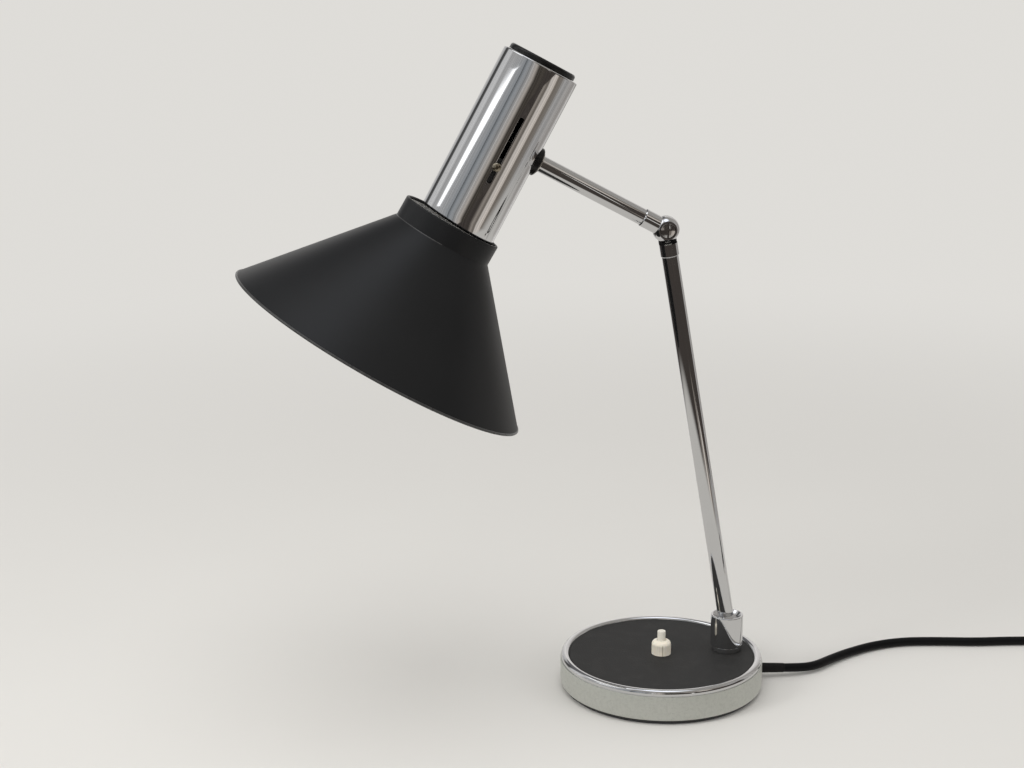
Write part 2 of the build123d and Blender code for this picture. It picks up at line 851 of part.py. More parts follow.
def holder_nut():
    nut = hexagon(holder_nut_af, shelf_z, shelf_z + holder_nut_h)
    return shade_frame * (nut - rod_of(nipple_r + thread_gap, 0, shelf_z + holder_nut_h + 1))


# Lampholder, shade and bulb: heights are measured down from the collar's top

holder_joint = holder_top - holder_cap_h
insert_z = -insert_depth - insert_t
carrier_z = -carrier_depth
ring_nut_z = carrier_z - carrier_t
bulb_top_z = insert_z - contact_t - seat_gap
bulb_foot_z = bulb_top_z - bulb_cap_len - seat_gap


def holder_cap():
    """Domed moulded cap of the lampholder."""
    cap = rod_of(holder_r, holder_joint, holder_top)
    cap = fillet(cap.edges().filter_by(GeomType.CIRCLE).sort_by(Axis.Z)[-1], holder_dome)
    bore = holder_r - holder_wall
    cap -= turned(
        (0, holder_joint - 1),
        (bore, holder_joint - 1),
        (bore, holder_top - holder_dome - holder_wall),
        (bore - holder_dome, holder_top - holder_wall),
        (0, holder_top - holder_wall),
    )
    return shade_frame * (cap - rod_of(nipple_r + thread_gap, 0, holder_top + 1))


def holder_shell():
    """Moulded shell with an outside thread below its shoulder, screwed into the cap."""
    bore = holder_thread_r - holder_wall
    shell = rod_of(holder_r, carrier_z, holder_joint)
    shell += rod_of(holder_thread_r, -holder_mouth, carrier_z)
    shell += rod_of(holder_r - holder_wall - thread_gap, holder_joint, holder_joint + holder_spigot)
    shell -= rod_of(bore, -holder_mouth - 1, holder_joint + holder_spigot + 1)
    for i in range(holder_threads):
        groove_z = (i + 0.5) * thread_pitch - holder_mouth
        shell -= turned(
            (holder_thread_r + 1, groove_z - thread_pitch / 3),
            (holder_thread_r + 1, groove_z + thread_pitch / 3),
            (holder_thread_r - thread_deep, groove_z),
        )
    return shade_frame * shell


def ceramic_insert():
    """Ceramic insert that carries the contacts."""
    bore = holder_thread_r - holder_wall
    return shade_frame * rod_of(bore - thread_gap, insert_z, -insert_depth)


def screw_shell():
    """Brass shell that takes the bulb's thread."""
    shell_bore = bulb_cap_r + seat_gap
    return shade_frame * pipe(shell_bore + shell_sheet, shell_bore, insert_z - shell_len, insert_z)


def centre_contact():
    """Spring tongue under the insert, against the bulb's foot."""
    half = contact_w / 2
    return shade_frame * block((-contact_len, half), (-half, half), (insert_z - contact_t, insert_z))


def shade_lines():
    """Outer and inner points of the sheet: the foot of the collar, the crease and the rim."""
    crease = (collar_r + crease_step, -collar_h - crease_step)
    rim = (rim_r - rim_bead_r, rim_bead_r - shade_h)
    slope = (rim[0] - crease[0]) / (crease[1] - rim[1])
    inward = sheet_t / cos(atan(slope))
    inner_r = collar_r - sheet_t
    inner_crease = (inner_r, crease[1] - (inner_r + inward - crease[0]) / slope)
    outer = [(collar_r, -collar_lip), (collar_r, -collar_h), crease, rim]
    return outer, [(rim[0] - inward, rim[1]), inner_crease, (inner_r, -collar_lip)]


def shade():
    """Spun shade: a straight collar with a rolled lip, a cone and a rolled rim."""
    outer, inner = shade_lines()
    section = make_face(Polyline(*outer, *inner, close=True))
    section += Pos(collar_r - collar_lip, -collar_lip) * Circle(collar_lip)
    section += Pos(*outer[-1]) * Circle(rim_bead_r)
    return shade_frame * revolve(Plane.XZ * section, Axis.Z)


def shade_carrier():
    """Sheet ring with arms that are spot-welded inside the cone."""
    low = carrier_z - carrier_t
    ring = pipe(carrier_ring_r, holder_thread_r + hole_gap, low, carrier_z)
    arm = block((carrier_ring_r - 2, rim_r), (-carrier_arm_w / 2, carrier_arm_w / 2), (low, carrier_z))
    for place in PolarLocations(0, carrier_arms, start_angle=90):
        ring += place * arm
    inner = shade_lines()[1]
    room = turned(*[(r - thread_gap, z) for r, z in inner], (0, -collar_lip), (0, inner[0][1]))
    return shade_frame * (ring & room)


def shade_ring():
    """Ribbed ring nut that clamps the carrier against the lampholder's shoulder."""
    ring = pipe(ring_nut_r, holder_thread_r + thread_gap, ring_nut_z - ring_nut_h, ring_nut_z)
    groove = rod_of(ring_nut_rib, ring_nut_z - ring_nut_h - 1, ring_nut_z - ring_nut_h / 5)
    for place in PolarLocations(ring_nut_r, ring_nut_ribs):
        ring -= place * groove
    return shade_frame * ring


def bulb_cap():
    """Metal cap of the bulb, with its contact on top."""
    high = bulb_top_z
    side = high - bulb_cap_cone
    cap = pipe(bulb_cap_r, bulb_neck_r + seat_gap, high - bulb_cap_len, side)
    cap += turned(
        (0, high),
        (bulb_cap_r / 3, high),
        (bulb_cap_r, side),
        (bulb_cap_r, side - cap_sheet),
        (0, high - 2 * cap_sheet),
    )
    return shade_frame * cap


def bulb_body(shrink):
    """The bulb's outline: a round bowl, a cone that touches it and a neck, smaller by shrink."""
    r = bulb_r - shrink
    neck_r = bulb_neck_r - shrink
    centre = bulb_r - bulb_end
    low = bulb_foot_z
    above = low - centre
    angle = atan2(above, neck_r) - acos(r / sqrt(above ** 2 + neck_r ** 2))
    touch = (r * cos(angle), centre + r * sin(angle))
    top = low + bulb_neck_len - shrink
    neck = turned((0, centre), touch, (neck_r, low), (neck_r, top), (0, top))
    return Pos(0, 0, centre) * Sphere(r) + neck


def bulb_glass():
    """Opal glass bulb."""
    return shade_frame * (bulb_body(0) - bulb_body(bulb_wall))


# Mains cord: from the sleeve to the coil, the coil of the unseen length, and the end with the plug

def cord_points():
    """Route of the cord from the sleeve's end to the coil, on the desk beyond its first bend."""
    droop = radians(exit_droop)
    first = 2 * cord_d
    start = Vector(base_r + sleeve_len * cos(droop), 0, exit_h - sleeve_len * sin(droop))
    lie = cord_d / 2
    return [
        start,
        start + Vector(first * cos(droop), 0, -first * sin(droop)),
        Vector(122.5, 4.3, 4.7),
        Vector(139.0, 17.0, 3.9),
        Vector(158.0, 28.5, 3.5),
        Vector(181.0, 38.5, lie),
        Vector(206.0, 42.5, lie),
        Vector(234.0, 38.0, lie),
        Vector(262.0, 32.0, lie),
        Vector(285.0, 30.0, lie),
        Vector(308.0, 26.5, lie),
        Vector(332.0, 18.5, lie),
        Vector(356.0, 10.2, lie),
        Vector(379.0, coil_entry_y, lie),
        Vector(coil_x - cord_d, coil_entry_y, lie),
    ]


def tail_points():
    """Route from the coil's upper end down to the plug on the desk."""
    x = coil_x - cord_d
    y = coil_y - coil_out_r
    high = cord_d / 2 + coil_pitch
    low = plug_t / 2
    return [
        Vector(x, y, high),
        Vector(x - tail_end, y, high),
        Vector(x - tail_end - tail_slope, y, low),
        Vector(x - tail_len, y, low),
    ]


def bend_radii(points):
    """The largest arc that two neighbouring runs allow at each corner."""
    radii = []
    for before, here, after in zip(points, points[1:], points[2:]):
        turn = (here - before).get_angle(after - here)
        shorter = min((here - before).length, (after - here).length)
        radii.append(0.45 * shorter / tan(radians(turn) / 2))
    return radii


def cord_tube(points):
    """A round cord along straight runs joined by tangent arcs, and its length."""
    path = FilletPolyline(*points, radius=bend_radii(points))
    section = Plane(origin=path @ 0, z_dir=path % 0) * Circle(cord_d / 2)
    return sweep(section, path=path), path.length


def coil_point(angle):
    """Centreline of the coil: in on the desk, up a layer in half a turn, and out again."""
    whole = 2 * pi * coil_turns
    middle = whole / 2
    r = coil_in_r + coil_pitch * abs(angle - middle) / (2 * pi)
    if abs(angle - middle) < coil_ease:
        r = coil_in_r + coil_pitch * ((angle - middle) ** 2 / coil_ease + coil_ease) / (4 * pi)
    step = min(max((angle - middle) / pi + 0.5, 0), 1)
    rise = coil_pitch * step * step * (3 - 2 * step)
    return Vector(coil_x + r * sin(angle), coil_y + r * cos(angle), cord_d / 2 + rise)


def coil_heading(angle):
    tiny = 1e-4
    return (coil_point(angle + tiny) - coil_point(angle - tiny)).normalized()


def two_arcs(start, start_dir, end, end_dir):
    """Two arcs that leave start and reach end along the given headings and meet smoothly."""
    span = end - start
    both = start_dir + end_dir
    bend = 2 * (1 - start_dir.dot(end_dir))
    along = span.dot(both)
    reach = (sqrt(along ** 2 + bend * span.dot(span)) - along) / bend
    first = start + start_dir * reach
    second = end - end_dir * reach
    middle = (first + second) / 2
    meet_dir = (second - first).normalized()
    return [TangentArc(start, middle, tangent=start_dir), TangentArc(middle, end, tangent=meet_dir)]


def coil_path():
    """The coil's centreline in quarter turns, with a straight end of one diameter each side."""
    quarters = round(4 * coil_turns)
    angles = [i * pi / 2 for i in range(quarters + 1)]
    headings = [coil_heading(a) for a in angles]
    headings[0] = Vector(1, 0, 0)
    headings[-1] = Vector(-1, 0, 0)
    points = [coil_point(a) for a in angles]
    edges = [Line(points[0] - headings[0] * cord_d, points[0])]
    for i in range(quarters):
        edges += two_arcs(points[i], headings[i], points[i + 1], headings[i + 1])
    edges.append(Line(points[-1], points[-1] + headings[-1] * cord_d))
    return edges


def cord_coil():
    """The coil as one unbroken tube, and its length."""
    edges = coil_path()
    wire = Wire(edges)
    section = Plane(origin=wire @ 0, z_dir=wire % 0) * Circle(cord_d / 2)
    return sweep(section, path=wire), wire.length


def coil_least_gap():
    """Least distance between the tube's surfaces of turns that lie beside or on each other."""
    steps = ceil(coil_turns * 72)
    points = [coil_point(i * pi / 36) for i in range(steps + 1)]
    least = min((points[i] - points[j]).length for i in range(steps + 1) for j in range(i + 40, steps + 1))
    return least - cord_d


plug_frame = Location((coil_x - cord_d - tail_len, coil_y - coil_out_r, plug_t / 2), (0, -90, 0))


def plug_body():
    """Flat moulded plug with a tapered sleeve, lying on the desk beside the coil."""
    sleeve = turned(
        (0, 0),
        (cord_d / 2 + seat_gap, 0),
        (plug_taper_r, plug_taper_len),
        (plug_taper_r, plug_taper_len + plug_edge),
        (0, plug_taper_len + plug_edge),
    )
    wide = RectangleRounded(plug_t, plug_w, plug_edge)
    narrow = RectangleRounded(plug_neck_t, plug_neck_w, plug_edge)
    shoulder_z = plug_taper_len + plug_shoulder
    shoulder = loft([Pos(0, 0, plug_taper_len) * narrow, Pos(0, 0, shoulder_z) * wide])
    body = Pos(0, 0, shoulder_z) * extrude(wide, plug_taper_len + plug_body_len - shoulder_z)
    return plug_frame * (sleeve + shoulder + body)


def plug_pins():
    """Two round pins."""
    low = plug_taper_len + plug_body_len
    pins = []
    for side in (-1, 1):
        pin = rod_of(pin_r, low, low + pin_len, 0, side * pin_gap / 2)
        pins.append(plug_frame * fillet(pin.edges().sort_by(Axis.Z)[-1], pin_r / 2))
    return Compound(children=pins)


# Write one file for each node, and print what the cord measures

def write(name, shape):
    export_step(shape, f"parts/{name}.step")


pieces = [
    base_pad, bottom_plate, bottom_screws, base_shell, base_weight, top_disc, switch_body,
    switch_ring_nut, switch_button, switch_spring, terminal_block, wiring_terminals, cord_grommet,
    inner_lead, lead_clip, foot_ring, swivel_stud, stud_washer, stud_nut, swivel_nut,
    post, ball_seat, seat_nut, rod_ball, lower_rod, rod_wire, knuckle_rear, friction_ring,
    knuckle_front, knuckle_screw, knuckle_washer, knuckle_nut, upper_arm, arm_wire, arm_nipple,
    arm_washer, inner_nut, head_tube, top_cap, saddle_washer, inner_saddle, slide_bracket,
    guide_screw, holder_nipple, holder_nut, holder_cap, holder_shell, ceramic_insert, screw_shell,
    centre_contact, shade, shade_carrier, shade_ring, bulb_cap, bulb_glass, plug_body, plug_pins,
]
for piece in pieces:
    write(piece.__name__, piece())

section_area = pi * cord_d ** 2 / 4
mains_cord, cord_length = cord_tube(cord_points())
cord_tail, tail_length = cord_tube(tail_points())
coil, coil_length = cord_coil()
write("mains_cord", mains_cord)
write("cord_coil", coil)
write("cord_tail", cord_tail)
print("cord bend radii", [round(r, 1) for r in bend_radii(cord_points())])
print("tail bend radii", [round(r, 1) for r in bend_radii(tail_points())])
for name, solid, length in (("cord", mains_cord, cord_length), ("tail", cord_tail, tail_length),
                            ("coil", coil, coil_length)):
    print(name, "length", round(length, 1), "volume over section x length",
          round(solid.volume / (section_area * length), 4))
print("least gap between the coil's turns", round(coil_least_gap(), 2))
print("whole cord", round(sleeve_len + cord_length + coil_length + tail_length, 1))
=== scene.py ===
import bpy
import json
import math
from mathutils import Matrix, Vector

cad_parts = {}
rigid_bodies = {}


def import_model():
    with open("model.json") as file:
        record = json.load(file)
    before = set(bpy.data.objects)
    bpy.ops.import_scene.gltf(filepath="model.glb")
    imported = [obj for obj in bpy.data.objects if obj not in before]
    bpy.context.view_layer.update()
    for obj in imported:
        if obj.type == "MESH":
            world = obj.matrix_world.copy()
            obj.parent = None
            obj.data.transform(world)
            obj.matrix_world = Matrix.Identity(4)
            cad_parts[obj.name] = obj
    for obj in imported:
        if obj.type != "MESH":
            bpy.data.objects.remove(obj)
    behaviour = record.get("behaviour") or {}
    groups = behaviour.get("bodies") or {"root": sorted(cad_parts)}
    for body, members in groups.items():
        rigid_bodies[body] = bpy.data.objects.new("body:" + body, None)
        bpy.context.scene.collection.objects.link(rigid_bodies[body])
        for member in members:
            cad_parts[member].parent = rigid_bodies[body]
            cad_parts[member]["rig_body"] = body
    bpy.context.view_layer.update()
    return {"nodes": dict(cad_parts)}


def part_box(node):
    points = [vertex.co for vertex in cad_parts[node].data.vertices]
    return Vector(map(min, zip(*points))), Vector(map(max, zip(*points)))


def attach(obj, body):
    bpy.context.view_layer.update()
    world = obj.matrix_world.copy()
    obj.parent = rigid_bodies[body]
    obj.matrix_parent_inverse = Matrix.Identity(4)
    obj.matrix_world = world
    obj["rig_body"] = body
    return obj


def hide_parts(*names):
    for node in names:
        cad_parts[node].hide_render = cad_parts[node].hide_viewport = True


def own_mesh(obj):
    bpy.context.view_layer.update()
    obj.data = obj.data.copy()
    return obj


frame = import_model()
nodes = frame["nodes"]

# Camera: it stands where the photograph was taken, in front of the lamp and a little left of it, and
# looks down at it. Its place and lens were fitted to the outlines of the base, rod and shade.

camera_place = (-0.3438, -1.3527, 0.5982)
camera_pitch = math.radians(14.73)
camera_turn = math.radians(9.69)
sensor_width = 36
lens_length = 70.3
view_reach = 60

bpy.ops.object.camera_add(location=camera_place, rotation=(math.pi / 2 - camera_pitch, 0, -camera_turn))
camera = bpy.context.object
camera.data.sensor_width = sensor_width
camera.data.lens = lens_length
camera.data.clip_end = view_reach
bpy.context.scene.camera = camera
bpy.context.scene.view_settings.view_transform = "Standard"


# Mains cord: a round black PVC lead with a smooth outer sheath. It leaves the base through its
# sleeve, bends down to the desk and runs off to the right; the rest is put away as a coil, and its
# last stretch comes down from the coil to the plug.

cord_d = 0.0067
exit_droop = math.radians(4.0)
exit_place = Vector((0.075, 0, 0.008))
sleeve_len = 0.0206
coil_x = 0.407
coil_entry_y = 0.006
coil_turns = 6.5
coil_mean_d = 0.073
coil_pitch = 0.0072
coil_ease = 0.35
points_a_turn = 24
tail_end = 0.012
tail_slope = 0.015
plug_t = 0.0138

lie = cord_d / 2
leave = Vector((math.cos(exit_droop), 0, -math.sin(exit_droop)))
sleeve_tip = exit_place + leave * sleeve_len
coil_out_r = coil_mean_d / 2 + coil_pitch * coil_turns / 4
coil_in_r = coil_mean_d / 2 - coil_pitch * coil_turns / 4
coil_y = coil_entry_y - coil_out_r


def coil_point(angle):
    """In on the desk, up a layer in half a turn, and out again; the points stand out a little,
    because the curve passes inside them."""
    middle = math.pi * coil_turns
    r = coil_in_r + coil_pitch * abs(angle - middle) / (2 * math.pi)
    if abs(angle - middle) < coil_ease:
        r = coil_in_r + coil_pitch * ((angle - middle) ** 2 / coil_ease + coil_ease) / (4 * math.pi)
    r /= math.cos(math.pi / points_a_turn)
    step = min(max((angle - middle) / math.pi + 0.5, 0), 1)
    rise = coil_pitch * step * step * (3 - 2 * step)
    return Vector((coil_x + r * math.sin(angle), coil_y + r * math.cos(angle), lie + rise))


route = [
    sleeve_tip,
    sleeve_tip + 2 * cord_d * leave,
    Vector((0.1225, 0.0043, 0.0047)),
    Vector((0.1390, 0.0170, 0.0039)),
    Vector((0.1580, 0.0285, 0.0035)),
    Vector((0.1810, 0.0385, lie)),
    Vector((0.2060, 0.0425, lie)),
    Vector((0.2340, 0.0380, lie)),
    Vector((0.2620, 0.0320, lie)),
    Vector((0.2850, 0.0300, lie)),
    Vector((0.3080, 0.0265, lie)),
    Vector((0.3320, 0.0185, lie)),
    Vector((0.3560, 0.0102, lie)),
    Vector((0.3790, coil_entry_y, lie)),
    Vector((coil_x - cord_d, coil_entry_y, lie)),
]
for i in range(round(coil_turns * points_a_turn) + 1):
    route.append(coil_point(2 * math.pi * i / points_a_turn))
tail_x = coil_x - cord_d
tail_y = coil_y - coil_out_r
route += [
    Vector((tail_x, tail_y, lie + coil_pitch)),
    Vector((tail_x - tail_end, tail_y, lie + coil_pitch)),
    Vector((tail_x - tail_end - tail_slope, tail_y, plug_t / 2)),
    Vector((tail_x - 2 * tail_end - tail_slope, tail_y, plug_t / 2)),
]

lead_curve = bpy.data.curves.new("lead", "CURVE")
lead_curve.dimensions = "3D"
lead_line = lead_curve.splines.new("NURBS")
lead_line.points.add(len(route) - 1)
for control, place in zip(lead_line.points, route):
    control.co = (*place, 1)
lead_line.order_u = 3
lead_line.use_endpoint_u = True
lead_line.resolution_u = 8
lead_curve.bevel_depth = cord_d / 2
lead_curve.bevel_resolution = 5
lead_curve.use_fill_caps = True
lead = bpy.data.objects.new("lead", lead_curve)
bpy.context.scene.collection.objects.link(lead)


class Wire:
    """An output of a shader node; arithmetic on it adds Math nodes."""

    def __init__(self, tree, socket):
        self.tree = tree
        self.socket = socket

    def maths(self, operation, first, second=0.0):
        return self.tree.add("ShaderNodeMath", {0: first, 1: second}, operation=operation)

    def __add__(self, other):
        return self.maths("ADD", self, other)

    def __sub__(self, other):
        return self.maths("SUBTRACT", self, other)

    def __rsub__(self, other):
        return self.maths("SUBTRACT", other, self)

    def __mul__(self, other):
        return self.maths("MULTIPLY", self, other)

    def __truediv__(self, other):
        return self.maths("DIVIDE", self, other)

    def __rtruediv__(self, other):
        return self.maths("DIVIDE", other, self)

    def __pow__(self, other):
        return self.maths("POWER", self, other)

    __radd__ = __add__
    __rmul__ = __mul__


class Tree:
    """The shader nodes of one finish, of the floor or of the room."""

    def __init__(self, owner):
        owner.use_nodes = True
        self.nodes = owner.node_tree.nodes
        self.links = owner.node_tree.links

    def add(self, kind, inputs={}, output=0, stops=(), **settings):
        """A node: its settings and ramp stops first, then the values or wires of its sockets."""
        node = self.nodes.new(kind)
        for name, value in settings.items():
            setattr(node, name, value)
        for i, (position, colour) in enumerate(stops):
            ramp = node.color_ramp.elements
            stop = ramp[i] if i < 2 else ramp.new(position)
            stop.position = position
            stop.color = (*colour, 1)
        for key, value in inputs.items():
            self.put(node.inputs[key], value)
        return Wire(self, node.outputs[output])

    def put(self, socket, value):
        if isinstance(value, Wire):
            self.links.new(value.socket, socket)
        else:
            socket.default_value = value

    def mix(self, factor, low, high):
        """A colour between two, each given as a wire or as three numbers."""
        low, high = (end if isinstance(end, Wire) else (*end, 1) for end in (low, high))
        return self.add("ShaderNodeMix", {0: factor, 6: low, 7: high}, output=2, data_type="RGBA")

    def ease(self, value, low, high):
        """0 below low, 1 above high and smooth between."""
        limits = {"Value": value, "From Min": low, "From Max": high}
        return self.add("ShaderNodeMapRange", limits, interpolation_type="SMOOTHSTEP")


class Finish(Tree):
    """A material: one Principled shader with patterns on Object coordinates."""

    def __init__(self, name, colour, roughness, metallic=0.0, **constants):
        self.material = bpy.data.materials.new(name)
        super().__init__(self.material)
        self.shader = self.nodes["Principled BSDF"]
        self.place = self.add("ShaderNodeTexCoord", output="Object")
        self.feed("Base Color", (*colour, 1))
        self.feed("Roughness", roughness)
        self.feed("Metallic", metallic)
        for name, value in constants.items():
            self.feed(name.replace("_", " "), value)

    def feed(self, socket, value):
        self.put(self.shader.inputs[socket], value)

    def tint(self, factor, low, high):
        self.feed("Base Color", self.mix(factor, low, high))

    def noise(self, size, detail=4.0, squeeze=(1, 1, 1), rough=0.55):
        """Cloudy pattern whose features are about size metres; a squeeze below 1 draws them out."""
        spot = self.add("ShaderNodeMapping", {"Vector": self.place, "Scale": squeeze})
        pattern = {"Vector": spot, "Scale": 1 / size, "Detail": detail, "Roughness": rough}
        return self.add("ShaderNodeTexNoise", pattern)

    def cells(self, size, feature="F1"):
        return self.add("ShaderNodeTexVoronoi", {"Vector": self.place, "Scale": 1 / size}, feature=feature)

    def bump(self, height, depth, strength=1.0):
        raised = {"Height": height, "Distance": depth, "Strength": strength}
        self.feed("Normal", self.add("ShaderNodeBump", raised, output="Normal"))


# The sheath's gloss is broken by a faint drag pattern and by dust.
cord_finish = Finish("black_cord_sheath", (0.006, 0.006, 0.0063), 0.5, Specular_IOR_Level=0.14)
sheath_wave = cord_finish.noise(0.004, 3.0)
sheath_dust = cord_finish.ease(cord_finish.noise(0.0007, 6.0), 0.58, 0.78)
cord_finish.tint(sheath_dust * 0.3, (0.004, 0.004, 0.0044), (0.03, 0.029, 0.028))
cord_finish.feed("Roughness", 0.44 + 0.14 * sheath_wave)
cord_finish.bump(sheath_wave, 0.00006)
lead.data.materials.append(cord_finish.material)


# Plug: a flat two-pin plug moulded in black PVC onto the end of the cord, with finger ridges on its
# broad faces and a tapered sleeve. The two nickel-plated pins are pressed in.

plug_w = 0.035
plug_edge = 0.0041
plug_neck_t = 0.011
plug_neck_w = 0.0158
plug_taper_len = 0.014
plug_taper_r = 0.0052
plug_taper_wall = 0.0003
plug_taper_edge = 0.0004
plug_shoulder = 0.012
plug_body_len = 0.032
plug_end_edge = 0.0018
shoulder_steps = 8
end_steps = 4
ridge_grooves = 5
first_groove = 0.0165
groove_pitch = 0.0028
groove_size = (0.0007, 0.0098, 0.0007)
corner_steps = 6
weld_gap = 2e-6


def standing(origin, up):
    """Frame with its Z along up and its Y along the lamp's Y."""
    side = Vector((0, 1, 0))
    up = Vector(up).normalized()
    along = side.cross(up).normalized()
    return Matrix.Translation(origin) @ Matrix((along, side, up)).transposed().to_4x4()


def arc(start, over, end, steps=10):
    """Points of the round stretch from start to end by way of over."""
    (ax, ay), (bx, by), (cx, cy) = start, over, end
    d = 2 * (ax * (by - cy) + bx * (cy - ay) + cx * (ay - by))
    sa, sb, sc = ax * ax + ay * ay, bx * bx + by * by, cx * cx + cy * cy
    mx = (sa * (by - cy) + sb * (cy - ay) + sc * (ay - by)) / d
    my = (sa * (cx - bx) + sb * (ax - cx) + sc * (bx - ax)) / d
    r = math.hypot(ax - mx, ay - my)
    first, between, last = (math.atan2(y - my, x - mx) for x, y in (start, over, end))
    turn = (last - first) % (2 * math.pi)
    if (between - first) % (2 * math.pi) > turn:
        turn -= 2 * math.pi
    angles = [first + turn * i / steps for i in range(steps + 1)]
    return [(mx + r * math.cos(a), my + r * math.sin(a)) for a in angles]


def outline(*parts, steps=corner_steps):
    """Points of a section. A part is a corner, a corner with a radius to round it to, or an arc."""
    corners = []
    for part in parts:
        corners += part if isinstance(part, list) else [part]
    points = []
    for i, corner in enumerate(corners):
        here = Vector(corner[:2])
        if len(corner) == 2:
            points.append(here)
            continue
        back = (Vector(corners[i - 1][:2]) - here).normalized()
        ahead = (Vector(corners[(i + 1) % len(corners)][:2]) - here).normalized()
        half = back.angle(ahead) / 2
        centre = here + (back + ahead).normalized() * corner[2] / math.sin(half)
        reach = corner[2] / math.tan(half)
        start = (here + back * reach - centre).normalized()
        end = (here + ahead * reach - centre).normalized()
        for k in range(steps + 1):
            points.append(centre + start.slerp(end, k / steps).normalized() * corner[2])
    return points


def start_point(name, point):
    """A new mesh in edit mode that is one vertex, the plane that it starts from drawn together."""
    bpy.ops.mesh.primitive_plane_add(size=0.01, location=(0, 0, 0))
    piece = bpy.context.object
    piece.name = name
    bpy.ops.object.mode_set(mode="EDIT")
    bpy.ops.mesh.select_all(action="SELECT")
    bpy.ops.mesh.merge(type="CENTER")
    bpy.ops.transform.translate(value=(point[0], 0, point[1]))
    return piece


def settle(piece, place=Matrix(), sharp=32):
    """Out of edit mode, into its place, and smooth up to the given angle."""
    bpy.ops.object.mode_set(mode="OBJECT")
    piece.data.transform(place)
    bpy.ops.object.shade_smooth_by_angle(angle=math.radians(sharp))
    return piece


def spin_up(name, points, closed, steps):
    """The section (radius, height) spun once about Z, still in edit mode."""
    piece = start_point(name, points[0])
    for before, after in zip(points, points[1:] + points[:1] if closed else points[1:]):
        move = (after[0] - before[0], 0, after[1] - before[1])
        bpy.ops.mesh.extrude_region_move(TRANSFORM_OT_translate={"value": move})
    bpy.ops.mesh.select_all(action="SELECT")
    bpy.ops.mesh.remove_doubles(threshold=weld_gap)
    bpy.ops.mesh.spin(steps=steps, angle=2 * math.pi, center=(0, 0, 0), axis=(0, 0, 1))
    bpy.ops.mesh.select_all(action="SELECT")
    bpy.ops.mesh.remove_doubles(threshold=weld_gap)
    bpy.ops.mesh.normals_make_consistent(inside=False)
    return piece


def turned(name, points, place=Matrix(), closed=True, steps=96, sharp=32):
    """A turned piece, set at its place."""
    return settle(spin_up(name, points, closed, steps), place, sharp)


def stand_in(piece, names, *finishes):
    """The piece stands in for CAD nodes: it joins the first node's body, the nodes are hidden, and it gets
    its finishes.
    """
    for finish in finishes:
        piece.data.materials.append(finish.material)
    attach(piece, nodes[names[0]]["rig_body"])
    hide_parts(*names)
    return piece


def dress(finish, *names):
    """Gives CAD nodes that keep their shape a finish."""
    for name in names:
        for slot in nodes[name].material_slots:
            slot.material = finish.material


def in_place(shape, place):
    """A fresh primitive whose mesh is moved to its place; the object stays at the origin."""
    shape.data.transform(place)
    return shape


def cut_by(piece, cutter):
    """Takes the cutter's space out of the piece."""
    cut = piece.modifiers.new("cut", "BOOLEAN")
    cut.operation = "DIFFERENCE"
    cut.solver = "EXACT"
    cut.object = cutter
    bpy.context.view_layer.objects.active = piece
    bpy.ops.object.modifier_apply(modifier=cut.name)
    bpy.data.objects.remove(cutter)


def plug_section(t, w):
    """Corner points of a rounded rectangle, t thick and w wide."""
    x, y = t / 2, w / 2
    return outline((x, -y, plug_edge), (x, y, plug_edge), (-x, y, plug_edge), (-x, -y, plug_edge))


plug_place = standing((tail_x - 2 * tail_end - tail_slope, tail_y, plug_t / 2), (-1, 0, 0))
body_end = plug_taper_len + plug_body_len

# The neck starts rounded: how far past the taper, and the shares of its thickness and of its width.
neck_start = ((-0.0012, 0.82, 0.88), (-0.0003, 0.95, 0.97), (0.0008, 1, 1))
plug_stations = [(plug_taper_len + past, plug_neck_t * t, plug_neck_w * w) for past, t, w in neck_start]
neck_z = plug_stations[-1][0]
for i in range(1, shoulder_steps + 1):
    share = i / shoulder_steps
    swell = 0.5 - 0.5 * math.cos(math.pi * share)
    plug_stations.append((neck_z + plug_shoulder * share,
                          plug_neck_t + (plug_t - plug_neck_t) * swell,
                          plug_neck_w + (plug_w - plug_neck_w) * swell))
for i in range(end_steps + 1):
    angle = math.pi / 2 * i / end_steps
    inset = 2 * plug_end_edge * (1 - math.cos(angle))
    plug_stations.append((body_end - plug_end_edge * (1 - math.sin(angle)), plug_t - inset, plug_w - inset))

section = plug_section(plug_stations[0][1], plug_stations[0][2])
bpy.ops.mesh.primitive_circle_add(vertices=len(section), radius=0.01, fill_type="NGON", location=(0, 0, 0))
plug = bpy.context.object
plug.name = "moulded_plug"
for vertex, point in zip(plug.data.vertices, section):
    vertex.co = (point.x, point.y, plug_stations[0][0])
bpy.ops.object.mode_set(mode="EDIT")
bpy.ops.mesh.select_all(action="SELECT")
for before, after in zip(plug_stations, plug_stations[1:]):
    bpy.ops.mesh.extrude_region_move(TRANSFORM_OT_translate={"value": (0, 0, after[0] - before[0])})
    grow = (after[1] / before[1], after[2] / before[2], 1)
    bpy.ops.transform.resize(value=grow, center_override=(0, 0, 0))
bpy.ops.mesh.select_all(action="SELECT")
bpy.ops.mesh.normals_make_consistent(inside=False)
settle(plug, plug_place, 40)

